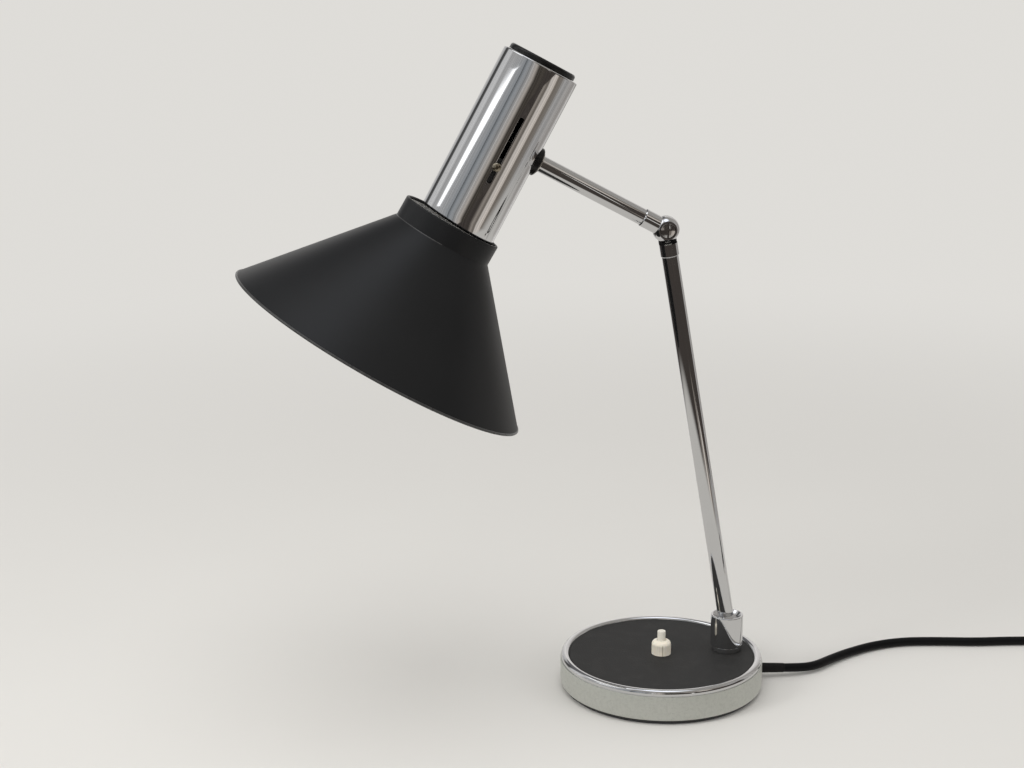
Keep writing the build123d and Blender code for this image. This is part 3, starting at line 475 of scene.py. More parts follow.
taper = turned("plug_taper", outline(
    (0, 0),
    (lie + plug_taper_wall, 0, plug_taper_edge),
    (plug_taper_r, plug_taper_len),
    (plug_taper_r, plug_taper_len + plug_edge),
    (0, plug_taper_len + plug_edge),
), plug_place, closed=False, steps=48)
grooves = []
for face in (-1, 1):
    for i in range(ridge_grooves):
        bpy.ops.mesh.primitive_uv_sphere_add(segments=24, ring_count=16, radius=1)
        at = Matrix.Translation((face * plug_t / 2, 0, plug_taper_len + first_groove + groove_pitch * i))
        in_place(bpy.context.object, plug_place @ at @ Matrix.Diagonal((*groove_size, 1)))
        grooves.append(bpy.context.object)
for groove in grooves:
    groove.select_set(True)
bpy.ops.object.join()
cut_by(plug, bpy.context.object)
bpy.ops.object.select_all(action="DESELECT")
taper.select_set(True)
plug.select_set(True)
bpy.context.view_layer.objects.active = plug
bpy.ops.object.join()

plug_finish = Finish("moulded_black_pvc", (0.016, 0.016, 0.017), 0.5)
plug_grain = plug_finish.noise(0.0006, 5.0)
plug_finish.feed("Roughness", 0.44 + 0.16 * plug_grain)
plug_finish.tint(plug_grain, (0.011, 0.011, 0.012), (0.024, 0.023, 0.023))
plug_finish.bump(plug_grain, 0.00005)
stand_in(plug, ["plug_body"], plug_finish)

nickel = Finish("plated_nickel", (0.66, 0.62, 0.55), 0.2, 1.0)
nickel_haze = nickel.noise(0.003, 5.0)
nickel.feed("Roughness", 0.13 + 0.16 * nickel_haze)
nickel.tint(nickel_haze, (0.60, 0.56, 0.50), (0.74, 0.71, 0.66))
dress(nickel, "plug_pins", "bulb_cap")

stand_in(lead, ["mains_cord", "cord_coil", "cord_tail"])


# Stage: a plain pale floor that runs into a plain pale room. Polished metal sees the room beyond the
# desk instead: a light wall behind the lamp, windows on the left and a dark side on the right.

floor_size = 60.0
floor_colour = (0.70, 0.685, 0.655)
room_colour = (0.735, 0.72, 0.69)
fade_start = 0.35
fade_end = 1.5
desk_in_metal = (0.56, 0.545, 0.515)
desk_start = 0.42
desk_end = 0.62

bpy.ops.mesh.primitive_plane_add(size=floor_size, location=(0, 0, 0))
floor = bpy.context.object
floor.name = "floor"
floor_finish = Finish("pale_floor", floor_colour, 0.7)
floor_mottle = floor_finish.noise(0.35, 3.0)
floor_finish.tint(floor_mottle, (0.69, 0.675, 0.645), (0.71, 0.695, 0.665))
floor_spot = floor_finish.add("ShaderNodeVectorMath", {0: floor_finish.place}, output="Value",
                              operation="LENGTH")
camera_ray = floor_finish.add("ShaderNodeLightPath", output="Is Camera Ray")
glossy_ray = floor_finish.add("ShaderNodeLightPath", output="Is Glossy Ray")
plain = floor_finish.add("ShaderNodeEmission", {"Color": (*room_colour, 1), "Strength": 1.0})
desk = floor_finish.add("ShaderNodeEmission", {"Color": (*desk_in_metal, 1), "Strength": 1.0})
clear = floor_finish.add("ShaderNodeBsdfTransparent")
near = floor_finish.add("ShaderNodeMixShader", {
    0: camera_ray * floor_finish.ease(floor_spot, fade_start, fade_end),
    1: Wire(floor_finish, floor_finish.shader.outputs[0]), 2: plain})
mirrored_floor = floor_finish.add("ShaderNodeMixShader", {
    0: floor_finish.ease(floor_spot, desk_start, desk_end), 1: desk, 2: clear})
seen = floor_finish.add("ShaderNodeMixShader", {0: glossy_ray, 1: near, 2: mirrored_floor})
floor_finish.put(floor_finish.nodes["Material Output"].inputs["Surface"], seen)
floor.data.materials.append(floor_finish.material)

# What metal sees, by the angle from straight back to the camera: positive to the camera's right.
# Each band has its angle, its level and its warmth.
room_bands = (
    (180, 0.78, 0.03),
    (152, 0.62, 0.03),
    (134, 0.30, 0.06),
    (112, 0.42, 0.04),
    (97, 0.34, 0.02),
    (84, 0.40, 0.02),
    (75, 0.20, 0.10),
    (60, 0.17, 0.15),
    (56, 0.56, 0.10),
    (44, 0.62, 0.08),
    (39, 0.10, 0.15),
    (33, 0.26, 0.12),
    (27, 0.22, 0.12),
    (21, 0.06, 0.16),
    (2, 0.05, 0.16),
    (-4, 0.40, 0.10),
    (-15, 0.42, 0.02),
    (-19, 0.24, 0.0),
    (-27, 0.36, -0.04),
    (-32, 0.32, -0.06),
    (-36, 0.12, -0.06),
    (-40, 0.32, -0.05),
    (-52, 0.38, -0.02),
    (-84, 0.44, 0.0),
    (-98, 0.40, 0.0),
    (-106, 0.64, 0.0),
    (-124, 0.60, 0.0),
    (-129, 0.08, 0.0),
    (-141, 0.06, 0.0),
    (-147, 0.46, 0.0),
    (-180, 0.78, 0.03),
)
ceiling = (0.34, 0.33, 0.31)
ceiling_start = 0.45
ceiling_end = 0.85
even_light = (0.60, 0.595, 0.585)
streak_count = 150
streak_depth = 1.5

# Patches of the room, each with its colour and its left, right, lower and upper edge in degrees.
dark_wall = (0.055, 0.047, 0.042)
below_desk = (-140, 26, -36, -6)
right_wall = (20, 100, -11, 25)
high_shade = (0.14, 0.14, 0.145)
high_back = (-179, -132, 26, 62)
low_shade = (0.36, 0.35, 0.33)
low_back = (136, 179, -17, -7)
strip_glow = (0.9, 0.88, 0.84)
strip_lamp = (30, 33, -1, 16)
skylight_glow = (1.55, 1.57, 1.6)
skylight = (-125, -60, 42, 70)
window_glow = (1.9, 1.92, 1.95)
window = (-82, -52, 22, 27.2)
upright_height = math.sin(math.radians(27))
zenith_glow = (1.5, 1.56, 1.7)
zenith_edge = 0.93


def band_stop(angle, level, warm):
    return (0.5 - angle / 360, (level * (1 + warm), level, level * (1 - warm)))


world = bpy.data.worlds.new("room")
bpy.context.scene.world = world
room = Tree(world)
heading = room.add("ShaderNodeTexCoord", output="Generated")
across, along, height = (room.add("ShaderNodeSeparateXYZ", {0: heading}, output=axis) for axis in "XYZ")
turn = across.maths("ARCTAN2", across, along) / (2 * math.pi) + (1 - camera_turn / (2 * math.pi))
turn = turn.maths("FRACT", turn)


def patch(under, colour, left, right, foot, head, soft=0.01, lean=0.0):
    """The room with a rectangle of one colour over it; a lean slants the right edge."""
    low, high = math.sin(math.radians(foot)), math.sin(math.radians(head))
    beside = room.ease(turn + lean, 0.5 - right / 360 - soft, 0.5 - right / 360 + soft)
    beside = beside * (1 - room.ease(turn, 0.5 - left / 360 - soft, 0.5 - left / 360 + soft))
    within = room.ease(height, low - soft, low + soft) * (1 - room.ease(height, high - soft, high + soft))
    return room.mix(beside * within, under, colour)


# The room is dark below the desk's front edge and level with the lamp on the right, and shaded high
# up and low down at the back. Its shelves and frames break all of it into fine streaks.
bands = room.add("ShaderNodeValToRGB", {0: turn}, stops=[band_stop(*band) for band in room_bands])
walls = room.mix(room.ease(height, ceiling_start, ceiling_end), bands, ceiling)
walls = patch(walls, dark_wall, *below_desk)
walls = patch(walls, dark_wall, *right_wall)
walls = patch(walls, high_shade, *high_back, soft=0.03)
walls = patch(walls, low_shade, *low_back)
fine = {"W": turn, "Scale": streak_count, "Detail": 3.0}
streaks = room.add("ShaderNodeTexNoise", fine, noise_dimensions="1D")
walls = room.add("ShaderNodeVectorMath", {0: walls, 3: 1 + streak_depth * (streaks - 0.5)}, operation="SCALE")

# Its light: a strip lamp, a skylight, the bright middle of the ceiling and a window. The window's
# right side leans, so that its image tapers down the head tube.
walls = patch(walls, strip_glow, *strip_lamp, soft=0.004)
walls = patch(walls, skylight_glow, *skylight, soft=0.03)
walls = room.mix(room.ease(height, zenith_edge, 1.0), walls, zenith_glow)
walls = patch(walls, window_glow, *window, soft=0.012, lean=height - upright_height)

# Metal sees those walls, dull surfaces are lit evenly, and the camera sees a plain backdrop.
lit_room = room.mix(room.add("ShaderNodeLightPath", output="Is Glossy Ray"), even_light, walls)
room_light = room.mix(room.add("ShaderNodeLightPath", output="Is Camera Ray"), lit_room, room_colour)
room.put(room.nodes["Background"].inputs["Color"], room_light)

lamp_middle = Vector((-0.1, 0, 0.25))


def soft_light(name, angle, distance, raised, width, tall, power):
    """A rectangular area light, at an angle from straight back to the camera, that faces the lamp."""
    bearing = math.radians(180 - angle) + camera_turn
    place = Vector((lamp_middle.x + distance * math.sin(bearing), distance * math.cos(bearing), raised))
    bpy.ops.object.light_add(type="AREA", location=place)
    lamp = bpy.context.object
    lamp.name = name
    lamp.data.shape = "RECTANGLE"
    lamp.data.size = width
    lamp.data.size_y = tall
    lamp.data.energy = power
    lamp.rotation_euler = (place - lamp_middle).to_track_quat("Z", "Y").to_euler()
    lamp.visible_glossy = False


soft_light("window_light", angle=-60, distance=1.8, raised=1.1, width=0.6, tall=0.9, power=14)
soft_light("ceiling_light", angle=-30, distance=0.6, raised=2.2, width=1.8, tall=1.8, power=19)
soft_light("fill", angle=62, distance=1.8, raised=1.0, width=0.9, tall=0.9, power=5)


# Base: a cast ring turned in one setting. Its band is satin-finished, the bead round the top is
# polished, and a step below the bead keeps the two apart. The cord's hole is drilled by the post.

base_r = 0.075
shell_z = 0.003
shell_wall = 0.0016
foot_round = 0.0025
band_top = 0.022
band_edge = 0.0002
bead_step = 0.0006
bead_top = 0.0264
bead_in = 0.0688
disc_z = 0.0249
disc_t = 0.0015
ledge_in = 0.066
lip_in = 0.0705
hole_r = 0.0042
hole_depth = 0.02

ledge_z = disc_z - disc_t
bead_out = base_r - bead_step
bead_foot = (bead_out, band_top + bead_step)
base_ring = turned("base_ring", outline(
    (lip_in, shell_z),
    (base_r, shell_z, foot_round),
    (base_r, band_top, band_edge),
    (bead_out, band_top),
    arc(bead_foot, ((bead_out + bead_in) / 2, bead_top), (bead_in, disc_z), 16),
    (bead_in, ledge_z),
    (ledge_in, ledge_z),
    (ledge_in, ledge_z - disc_t),
    (base_r - shell_wall, ledge_z - disc_t),
    (base_r - shell_wall, shell_z + shell_wall),
    (lip_in, shell_z + shell_wall),
), steps=180, sharp=40)

bpy.ops.mesh.primitive_cylinder_add(vertices=48, radius=hole_r, depth=hole_depth)
cut_by(base_ring, in_place(bpy.context.object, standing(exit_place, leave)))

satin_steel = Finish("satin_cast_band", (0.46, 0.47, 0.435), 0.42, 0.7)
fine_pits = satin_steel.noise(0.00055, 6.0, rough=0.7)
blotches = satin_steel.noise(0.0022, 3.0, rough=0.6)
wide_cloud = satin_steel.noise(0.03, 3.0)
speckle = satin_steel.ease(satin_steel.noise(0.0009, 2.0), 0.60, 0.74)
stain = speckle * 0.5 + 0.9 * (fine_pits - 0.5) + 1.2 * (blotches - 0.45)
satin_steel.tint(stain, (0.60, 0.61, 0.565), (0.43, 0.44, 0.405))
satin_steel.feed("Roughness", 0.32 + 0.16 * blotches + 0.08 * wide_cloud)
satin_steel.bump(fine_pits + blotches, 0.00016, 0.8)


def polished(name, colour, haze=0.05):
    """Bright plating: wiped, so its gloss has soft clouds, and with fine hairlines."""
    plate = Finish(name, colour, 0.05, 1.0)
    clouds = plate.noise(0.018, 5.0)
    hairs = plate.noise(0.0012, 2.0, squeeze=(1, 1, 0.06))
    plate.feed("Roughness", 0.025 + haze * clouds + 0.02 * hairs)
    plate.tint(clouds, colour, tuple(0.93 * c for c in colour))
    plate.bump(hairs, 0.0000015)
    return plate


chrome = polished("polished_chrome", (0.77, 0.77, 0.775))
stand_in(base_ring, ["base_shell"], satin_steel, chrome)
for face in base_ring.data.polygons:
    if face.center.z > band_top + bead_step / 2 and math.hypot(face.center.x, face.center.y) > bead_in:
        face.material_index = 1


# Inside the base: the cast iron weight, the blacked steel plate that closes it with its zinc-plated
# screws, and the black felt that it stands on. The head's bracket is blacked steel too, and the
# lamp's hidden nuts, washers and nipples are zinc-plated.

iron = Finish("cast_iron", (0.10, 0.10, 0.105), 0.75, 0.4)
iron_skin = iron.noise(0.0015, 6.0, rough=0.65)
iron.tint(iron_skin, (0.06, 0.06, 0.062), (0.16, 0.155, 0.15))
iron.bump(iron_skin, 0.0003)
dress(iron, "base_weight")

# This blacked finish also paints the shade inside the rear knuckle half, round the front half.
blacked_steel_and_recess_shade = Finish("blacked_sheet_and_recess_shade", (0.025, 0.025, 0.027), 0.5, 0.3)
sheet_cloud = blacked_steel_and_recess_shade.noise(0.008, 5.0)
blacked_steel_and_recess_shade.feed("Roughness", 0.38 + 0.2 * sheet_cloud)
blacked_steel_and_recess_shade.tint(sheet_cloud, (0.018, 0.018, 0.02), (0.04, 0.039, 0.038))
dress(blacked_steel_and_recess_shade, "bottom_plate", "slide_bracket")

zinc = Finish("zinc_plate", (0.52, 0.52, 0.50), 0.35, 1.0)
zinc_cloud = zinc.noise(0.0035, 4.0)
zinc.tint(zinc_cloud, (0.42, 0.43, 0.42), (0.62, 0.61, 0.57))
zinc.feed("Roughness", 0.26 + 0.22 * zinc_cloud)
dress(zinc, "bottom_screws", "swivel_stud", "stud_washer", "stud_nut", "knuckle_washer", "knuckle_nut",
      "arm_nipple", "inner_nut", "inner_saddle", "holder_nipple", "shade_carrier")

felt = Finish("black_felt", (0.03, 0.03, 0.032), 0.95, Sheen_Weight=0.4)
felt_nap = felt.noise(0.0004, 8.0, rough=0.75)
felt.tint(felt_nap, (0.018, 0.018, 0.02), (0.055, 0.055, 0.058))
felt.bump(felt_nap, 0.0004)
dress(felt, "base_pad")


# Top disc: a steel disc covered in black leathercloth, dropped into the ring just below the bead.
# The cloth has a fine pebbled grain that holds a little dust.

leathercloth = Finish("black_leathercloth", (0.03, 0.03, 0.03), 0.7, Specular_IOR_Level=0.3)
pebbles = leathercloth.cells(0.0011)
cloth_dust = leathercloth.ease(leathercloth.noise(0.012, 6.0), 0.45, 0.75)
leathercloth.tint(cloth_dust * 0.15 + 0.45 * pebbles, (0.018, 0.018, 0.018), (0.055, 0.053, 0.050))
leathercloth.feed("Roughness", 0.62 + 0.16 * pebbles)
leathercloth.bump(pebbles, 0.00012, 0.8)
dress(leathercloth, "top_disc")


# Switch: a black moulded body under the disc, held by an ivory ring nut with fine ribs and a moulding
# seam. The plunger of the same plastic stands above the nut, with a stem and a flange inside.

nut_r = 0.0072
nut_top = 0.0357
nut_round = 0.0034
nut_wall = 0.0016
nut_bore = 0.00495
nut_edge = 0.0003
nut_ribs = 30
steps_a_rib = 8
rib_depth = 0.00028
rib_margin = 0.0005
seam_angle = math.radians(-96)
seam_half = math.radians(1.0)
seam_depth = 0.0006
button_gap = 0.0003
button_r = 0.003
button_top = 0.0428
button_edge = 0.0004
stem_r = 0.0019
stem_low = 0.0272
flange_r = 0.0036
flange_low = 0.0318
flange_high = 0.0338
dish_r = 0.0025
dish_depth = 0.00035
hair = 1e-5

ring_nut = turned("ribbed_nut", outline(
    (nut_bore, disc_z),
    (nut_r, disc_z, nut_edge),
    (nut_r, disc_z + rib_margin),
    (nut_r, disc_z + 2 * rib_margin),
    (nut_r, nut_top - nut_round - rib_margin),
    (nut_r, nut_top - nut_round),
    (nut_r, nut_top, nut_round),
    (button_r + button_gap, nut_top, nut_edge),
    (button_r + button_gap, nut_top - nut_wall),
    (nut_bore, nut_top - nut_wall),
), steps=steps_a_rib * nut_ribs, sharp=50)
ribs_low = disc_z + 2 * rib_margin - hair
ribs_high = nut_top - nut_round - rib_margin + hair
for vertex in ring_nut.data.vertices:
    on_side = math.hypot(vertex.co.x, vertex.co.y) > nut_r - hair
    if not on_side or not ribs_low < vertex.co.z < ribs_high:
        continue
    around = math.atan2(vertex.co.y, vertex.co.x)
    flute = rib_depth * (0.5 - 0.5 * math.cos(nut_ribs * around)) ** 2
    if abs(around - seam_angle) < seam_half:
        flute = seam_depth
    vertex.co.xy *= 1 - flute / nut_r

button = turned("push_button", outline(
    (0, stem_low),
    (stem_r, stem_low),
    (stem_r, flange_low),
    (flange_r, flange_low),
    (flange_r, flange_high),
    (button_r, flange_high),
    (button_r, button_top, button_edge),
    arc((dish_r, button_top), (dish_r / 2, button_top - 0.75 * dish_depth), (0, button_top - dish_depth), 6),
), closed=False, steps=64)

ivory = Finish("ivory_urea", (0.68, 0.60, 0.46), 0.34, Subsurface_Weight=0.12,
               Subsurface_Radius=(0.002, 0.0015, 0.001))
ivory_cloud = ivory.noise(0.004, 4.0)
nut_x, nut_y, nut_z = (ivory.add("ShaderNodeSeparateXYZ", {0: ivory.place}, output=axis) for axis in "XYZ")
around = nut_y.maths("ARCTAN2", nut_y, nut_x)
# The grooves between the ribs are darkened as painted shade; a dark line runs along the seam, and the ivory's
# tone varies in clouds.
groove = (0.5 - 0.5 * around.maths("COSINE", around * nut_ribs)) ** 3
above_foot = ivory.ease(nut_z, disc_z, disc_z + rib_margin)
on_ribs = above_foot - ivory.ease(nut_z, nut_top - nut_round, nut_top - nut_wall)
seam = 1 - ivory.ease(around.maths("ABSOLUTE", around - seam_angle), 0.012, 0.04)
rib_shade_seam_and_tone = (0.1 * groove + 0.95 * seam) * on_ribs + 0.2 * ivory_cloud
ivory.tint(rib_shade_seam_and_tone, (0.91, 0.85, 0.725), (0.34, 0.26, 0.165))
ivory.feed("Roughness", 0.28 + 0.18 * ivory_cloud)
stand_in(ring_nut, ["switch_ring_nut"], ivory)

ivory_worn = Finish("ivory_worn", (0.80, 0.77, 0.69), 0.26)
worn_cloud = ivory_worn.noise(0.003, 4.0)
ivory_worn.tint(worn_cloud, (0.82, 0.79, 0.715), (0.74, 0.70, 0.60))
ivory_worn.feed("Roughness", 0.2 + 0.16 * worn_cloud)
stand_in(button, ["switch_button"], ivory_worn)


# Return spring: zinc-plated wire wound in five turns, that stands on the switch body and pushes the
# plunger's flange up.

spring_wire = 0.0005
spring_turns = 5

spring_low, spring_high = (Vector(corner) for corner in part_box("switch_spring"))
spring_rise = spring_high.z - spring_low.z - spring_wire
bpy.ops.mesh.primitive_circle_add(vertices=12, radius=spring_wire / 2)
spring = bpy.context.object
spring.name = "return_spring"
spring_start = Vector((spring_high.x - spring_wire / 2, 0, spring_low.z + spring_wire / 2))
in_place(spring, Matrix.Translation(spring_start) @ Matrix.Rotation(math.pi / 2, 4, "X"))
winding = spring.modifiers.new("winding", "SCREW")
winding.screw_offset = spring_rise / spring_turns
winding.iterations = spring_turns
winding.steps = 40
winding.render_steps = 40
bpy.ops.object.modifier_apply(modifier=winding.name)
bpy.ops.object.mode_set(mode="EDIT")
bpy.ops.mesh.select_all(action="SELECT")
bpy.ops.mesh.fill_holes(sides=0)
bpy.ops.mesh.select_all(action="SELECT")
bpy.ops.mesh.normals_make_consistent(inside=False)
stand_in(settle(spring, sharp=50), ["switch_spring"], zinc)
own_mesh(spring)


# Black mouldings: the switch body, the clip on the inner lead, the saddle at the arm's end and the
# lampholder's cap, shell and shade ring. They are pressed in heated moulds, so their skin is smooth.


def moulding(name, colour, pale, rough, **constants):
    """Moulded plastic with a fine skin and soft wear."""
    resin = Finish(name, colour, rough, **constants)
    skin = resin.noise(0.0008, 5.0)
    wear = resin.noise(0.012, 4.0)
    resin.tint(wear * 0.5 + 0.3 * skin, colour, pale)
    resin.feed("Roughness", rough - 0.06 + 0.12 * wear)
    resin.bump(skin, 0.00003)
    return resin


dark_moulding = moulding("black_moulding", (0.003, 0.003, 0.0033), (0.012, 0.0115, 0.011), 0.28,
                         Specular_IOR_Level=0.3)
dress(dark_moulding, "switch_body", "lead_clip", "saddle_washer", "holder_cap", "holder_shell", "shade_ring")


# Wiring: the cord's inner run ends in a two-way ceramic block with brass terminals, and white flex
# goes on from it through the rod and the arm. The lampholder's live parts are ceramic and brass too,
# and the same brass makes the nuts in the post and on the holder's nipple.

dress(cord_finish, "inner_lead")

ceramic = moulding("white_ceramic", (0.76, 0.75, 0.71), (0.60, 0.58, 0.52), 0.4)
dress(ceramic, "terminal_block", "ceramic_insert")

brass = Finish("brass", (0.72, 0.52, 0.24), 0.3, 1.0)
brass_cloud = brass.noise(0.003, 5.0)
brass.tint(brass_cloud, (0.74, 0.56, 0.28), (0.52, 0.36, 0.16))
brass.feed("Roughness", 0.2 + 0.2 * brass_cloud)
dress(brass, "wiring_terminals", "swivel_nut", "seat_nut", "holder_nut", "screw_shell", "centre_contact")

flex = moulding("white_flex", (0.66, 0.65, 0.60), (0.55, 0.53, 0.47), 0.45)
dress(flex, "rod_wire", "arm_wire")


# Friction rings: the ball's seat in the post and the ring between the knuckle's halves. Both are cut
# from red vulcanised fibre, and they let the joints turn stiffly and stay where they are put.

fibre = moulding("red_fibre", (0.22, 0.06, 0.035), (0.14, 0.04, 0.025), 0.7)
dress(fibre, "ball_seat", "friction_ring")


# Sleeve: a soft black rubber grommet, pressed into the band's hole so that the hole's edge sits in
# its groove. Outside it tapers round the cord and keeps it from bending sharply.

sleeve_in_r = 0.005
sleeve_in_low = -0.0039
sleeve_in_high = -0.0019
sleeve_in_edge = 0.0003
groove_r = 0.0039
sleeve_lip_r = 0.0047
sleeve_lip_low = 0.0003
sleeve_lip_high = 0.0013
sleeve_lip_edges = (0.0002, 0.0004)
sleeve_taper = ((0.0038, 0.0015), (0.0037, 0.0056))
sleeve_tip_r = 0.0035
sleeve_tip_edge = 0.0006

sleeve = turned("cord_sleeve", outline(
    (0, sleeve_in_low),
    (sleeve_in_r, sleeve_in_low, sleeve_in_edge),
    (sleeve_in_r, sleeve_in_high),
    (groove_r, sleeve_in_high),
    (groove_r, sleeve_lip_low),
    (sleeve_lip_r, sleeve_lip_low, sleeve_lip_edges[0]),
    (sleeve_lip_r, sleeve_lip_high, sleeve_lip_edges[1]),
    *sleeve_taper,
    (sleeve_tip_r, sleeve_len, sleeve_tip_edge),
    (0, sleeve_len),
), standing(exit_place, leave), closed=False, steps=48)
rubber = Finish("black_rubber", (0.01, 0.01, 0.01), 0.62, Specular_IOR_Level=0.12)
rubber_bloom = rubber.noise(0.002, 5.0)
rubber.tint(rubber_bloom, (0.004, 0.004, 0.004), (0.015, 0.0145, 0.014))
rubber.bump(rubber_bloom, 0.00005)
stand_in(sleeve, ["cord_grommet"], rubber)


# Post: a chromed brass cup that turns on a foot ring. Its mouth is dished, and the thin lip at the
# bottom of the dish holds the ball. A hollow stud through its foot lets it swivel.

post_x = 0.05
foot_bore = 0.0052
foot_r = 0.011
foot_top = 0.0291
foot_edges = (0.0004, 0.0005)
post_bore = 0.00508
post_edges = (0.0004, 0.0006, 0.0003)
post_r = 0.012
post_top = 0.0529
ball_r = 0.009
ball_z = 0.046
cup_r = 0.0093
lip_r = 0.0082
mouth_r = 0.0106
web_z = 0.0313

at_post = Matrix.Translation((post_x, 0, 0))
foot = turned("foot_collar", outline(
    (foot_bore, disc_z),
    (foot_r, disc_z, foot_edges[0]),
    (foot_r, foot_top, foot_edges[1]),
    (foot_bore, foot_top),
), at_post, steps=128)
stand_in(foot, ["foot_ring"], chrome)

lip_z = ball_z + math.sqrt(cup_r ** 2 - lip_r ** 2)
cup_mid = math.radians(16)
post = turned("ball_post", outline(
    (post_bore, foot_top),
    (post_r, foot_top, post_edges[0]),
    (post_r, post_top, post_edges[1]),
    (mouth_r, post_top, post_edges[2]),
    arc((lip_r, lip_z), (cup_r * math.cos(cup_mid), ball_z + cup_r * math.sin(cup_mid)), (cup_r, ball_z), 8),
    (cup_r, web_z),
    (post_bore, web_z),
), at_post, steps=160)
stand_in(post, ["post"], chrome)


# Lower rod: a chromed steel tube whose lower end is screwed onto the stub of a polished ball. The
# post's lip grips the ball, and the lamp's flex comes up through it.

tube_r = 0.006
tube_bore = 0.005
tube_edge = 0.00025
ball_bore = 0.0028
stub_r = 0.00495
stub_end = 0.0157
rod_lean = math.radians(10)
rod_len = 0.304
neck_len = 0.0195

rod_low = Vector((post_x, 0, ball_z))
rod_axis = Vector((-math.sin(rod_lean), 0, math.cos(rod_lean)))
rod_place = standing(rod_low, rod_axis)
ball_top = math.sqrt(ball_r ** 2 - tube_r ** 2)
ball_foot = -math.sqrt(ball_r ** 2 - ball_bore ** 2)
ball = turned("steel_ball", outline(
    (ball_bore, ball_foot),
    arc((ball_bore + hair, ball_foot), (ball_r, 0), (tube_r, ball_top), 40),
    (stub_r, ball_top),
    (stub_r, stub_end),
    (ball_bore, stub_end),
), rod_place, steps=96)
stand_in(ball, ["rod_ball"], chrome)


def tube(name, low, high, place):
    """A chromed tube with eased ends."""
    wall = ((tube_bore, low), (tube_r, low, tube_edge), (tube_r, high, tube_edge), (tube_bore, high))
    return turned(name, outline(*wall), place, steps=128)


stand_in(tube("rod_tube", ball_top, rod_len - neck_len, rod_place), ["lower_rod"], chrome)


# Knuckle: two chromed half-balls that face each other, each with a round neck for its tube. A slotted
# screw goes through both, with its head in a recess of the front half and a nut in the rear one.

knob_r = 0.0096
knob_flat = 0.0069
ring_half = 0.0004
neck_r = 0.0066
neck_chamfer = 0.0006
front_clear_r = 0.0100
rear_clear_r = 0.0122
screw_room_r = 0.0056
screw_room_floor = 0.0043
nut_room_r = 0.00657
nut_room_floor = 0.0036
knuckle_ease = 0.00012
saw_size = 0.04
arm_rise = math.radians(28.4)
arm_len = 0.1346

knuckle = rod_low + rod_len * rod_axis
arm_axis = Vector((-math.cos(arm_rise), 0, math.sin(arm_rise)))


def saw_out(piece, place, size):
    """Takes a box out of the piece."""
    bpy.ops.mesh.primitive_cube_add(size=1)
    cut_by(piece, in_place(bpy.context.object, place @ Matrix.Diagonal((*size, 1))))


def eased(piece, width, angle):
    """Rounds the edges of the active piece that are sharper than the angle."""
    ease = piece.modifiers.new("ease", "BEVEL")
    ease.width = width
    ease.segments = 2
    ease.limit_method = "ANGLE"
    ease.angle_limit = math.radians(angle)
    bpy.ops.object.modifier_apply(modifier=ease.name)


def knuckle_half(name, side, place, clear_r, room_r, room_floor):
    """Half-ball with its neck along +Z; side is the way along Y that its flat faces."""
    neck_foot = math.sqrt(knob_r ** 2 - neck_r ** 2)
    half = turned(name, outline(
        arc((0, -knob_r), (knob_r, 0), (neck_r, neck_foot), 44),
        (neck_r, neck_len - neck_chamfer),
        (neck_r - neck_chamfer, neck_len),
        (0, neck_len),
    ), closed=False, steps=120)
    saw_out(half, Matrix.Translation((0, side * (knob_flat + saw_size / 2), 0)), [saw_size] * 3)
    bpy.ops.mesh.primitive_uv_sphere_add(segments=96, ring_count=64, radius=clear_r)
    other = bpy.context.object
    bpy.ops.object.mode_set(mode="EDIT")
    bpy.ops.mesh.select_all(action="SELECT")
    bpy.ops.mesh.bisect(plane_co=(0, side * ring_half, 0), plane_no=(0, side, 0),
                        use_fill=True, clear_outer=True)
    bpy.ops.object.mode_set(mode="OBJECT")
    cut_by(half, other)
    bpy.ops.mesh.primitive_cylinder_add(vertices=72, radius=room_r, depth=saw_size / 2)
    centre = Matrix.Translation((0, side * (room_floor + saw_size / 4), 0))
    cut_by(half, in_place(bpy.context.object, centre @ Matrix.Rotation(math.pi / 2, 4, "X")))
    bpy.ops.object.select_all(action="DESELECT")
    half.select_set(True)
    bpy.context.view_layer.objects.active = half
    eased(half, knuckle_ease, 38)
    half.data.transform(place)
    bpy.ops.object.shade_smooth_by_angle(angle=math.radians(32))
    even = half.modifiers.new("even", "WEIGHTED_NORMAL")
    even.keep_sharp = True
    bpy.ops.object.modifier_apply(modifier=even.name)
    return half


# Inside the rear half, round the front half, the faces take the blacked finish: painted shade in the recess.
rear_place = standing(knuckle, -rod_axis)
rear = knuckle_half("rear_knuckle", 1, rear_place, rear_clear_r, nut_room_r, nut_room_floor)
stand_in(rear, ["knuckle_rear"], chrome, blacked_steel_and_recess_shade)
for face in rear.data.polygons:
    spot = rear_place.inverted() @ face.center
    if spot.length < rear_clear_r and spot.y < 1.5 * ring_half:
        face.material_index = 1
front_place = standing(knuckle, arm_axis)
front = knuckle_half("front_knuckle", -1, front_place, front_clear_r, screw_room_r, screw_room_floor)
stand_in(front, ["knuckle_front"], chrome)


# Knuckle screw: plated steel with a slightly domed, slotted head sunk in the front half's recess. Its
# shank runs through both halves and the friction ring into the nut.

knuckle_shank_r = 0.003
knuckle_shank_edge = 0.0004
knuckle_screw_r = 0.0053
knuckle_screw_edge = 0.0066
knuckle_screw_top = 0.0074
knuckle_screw_end = -0.0077
knuckle_head_edges = (0.0003, 0.0004)
knuckle_dome = 0.0002
knuckle_slot = 0.0014

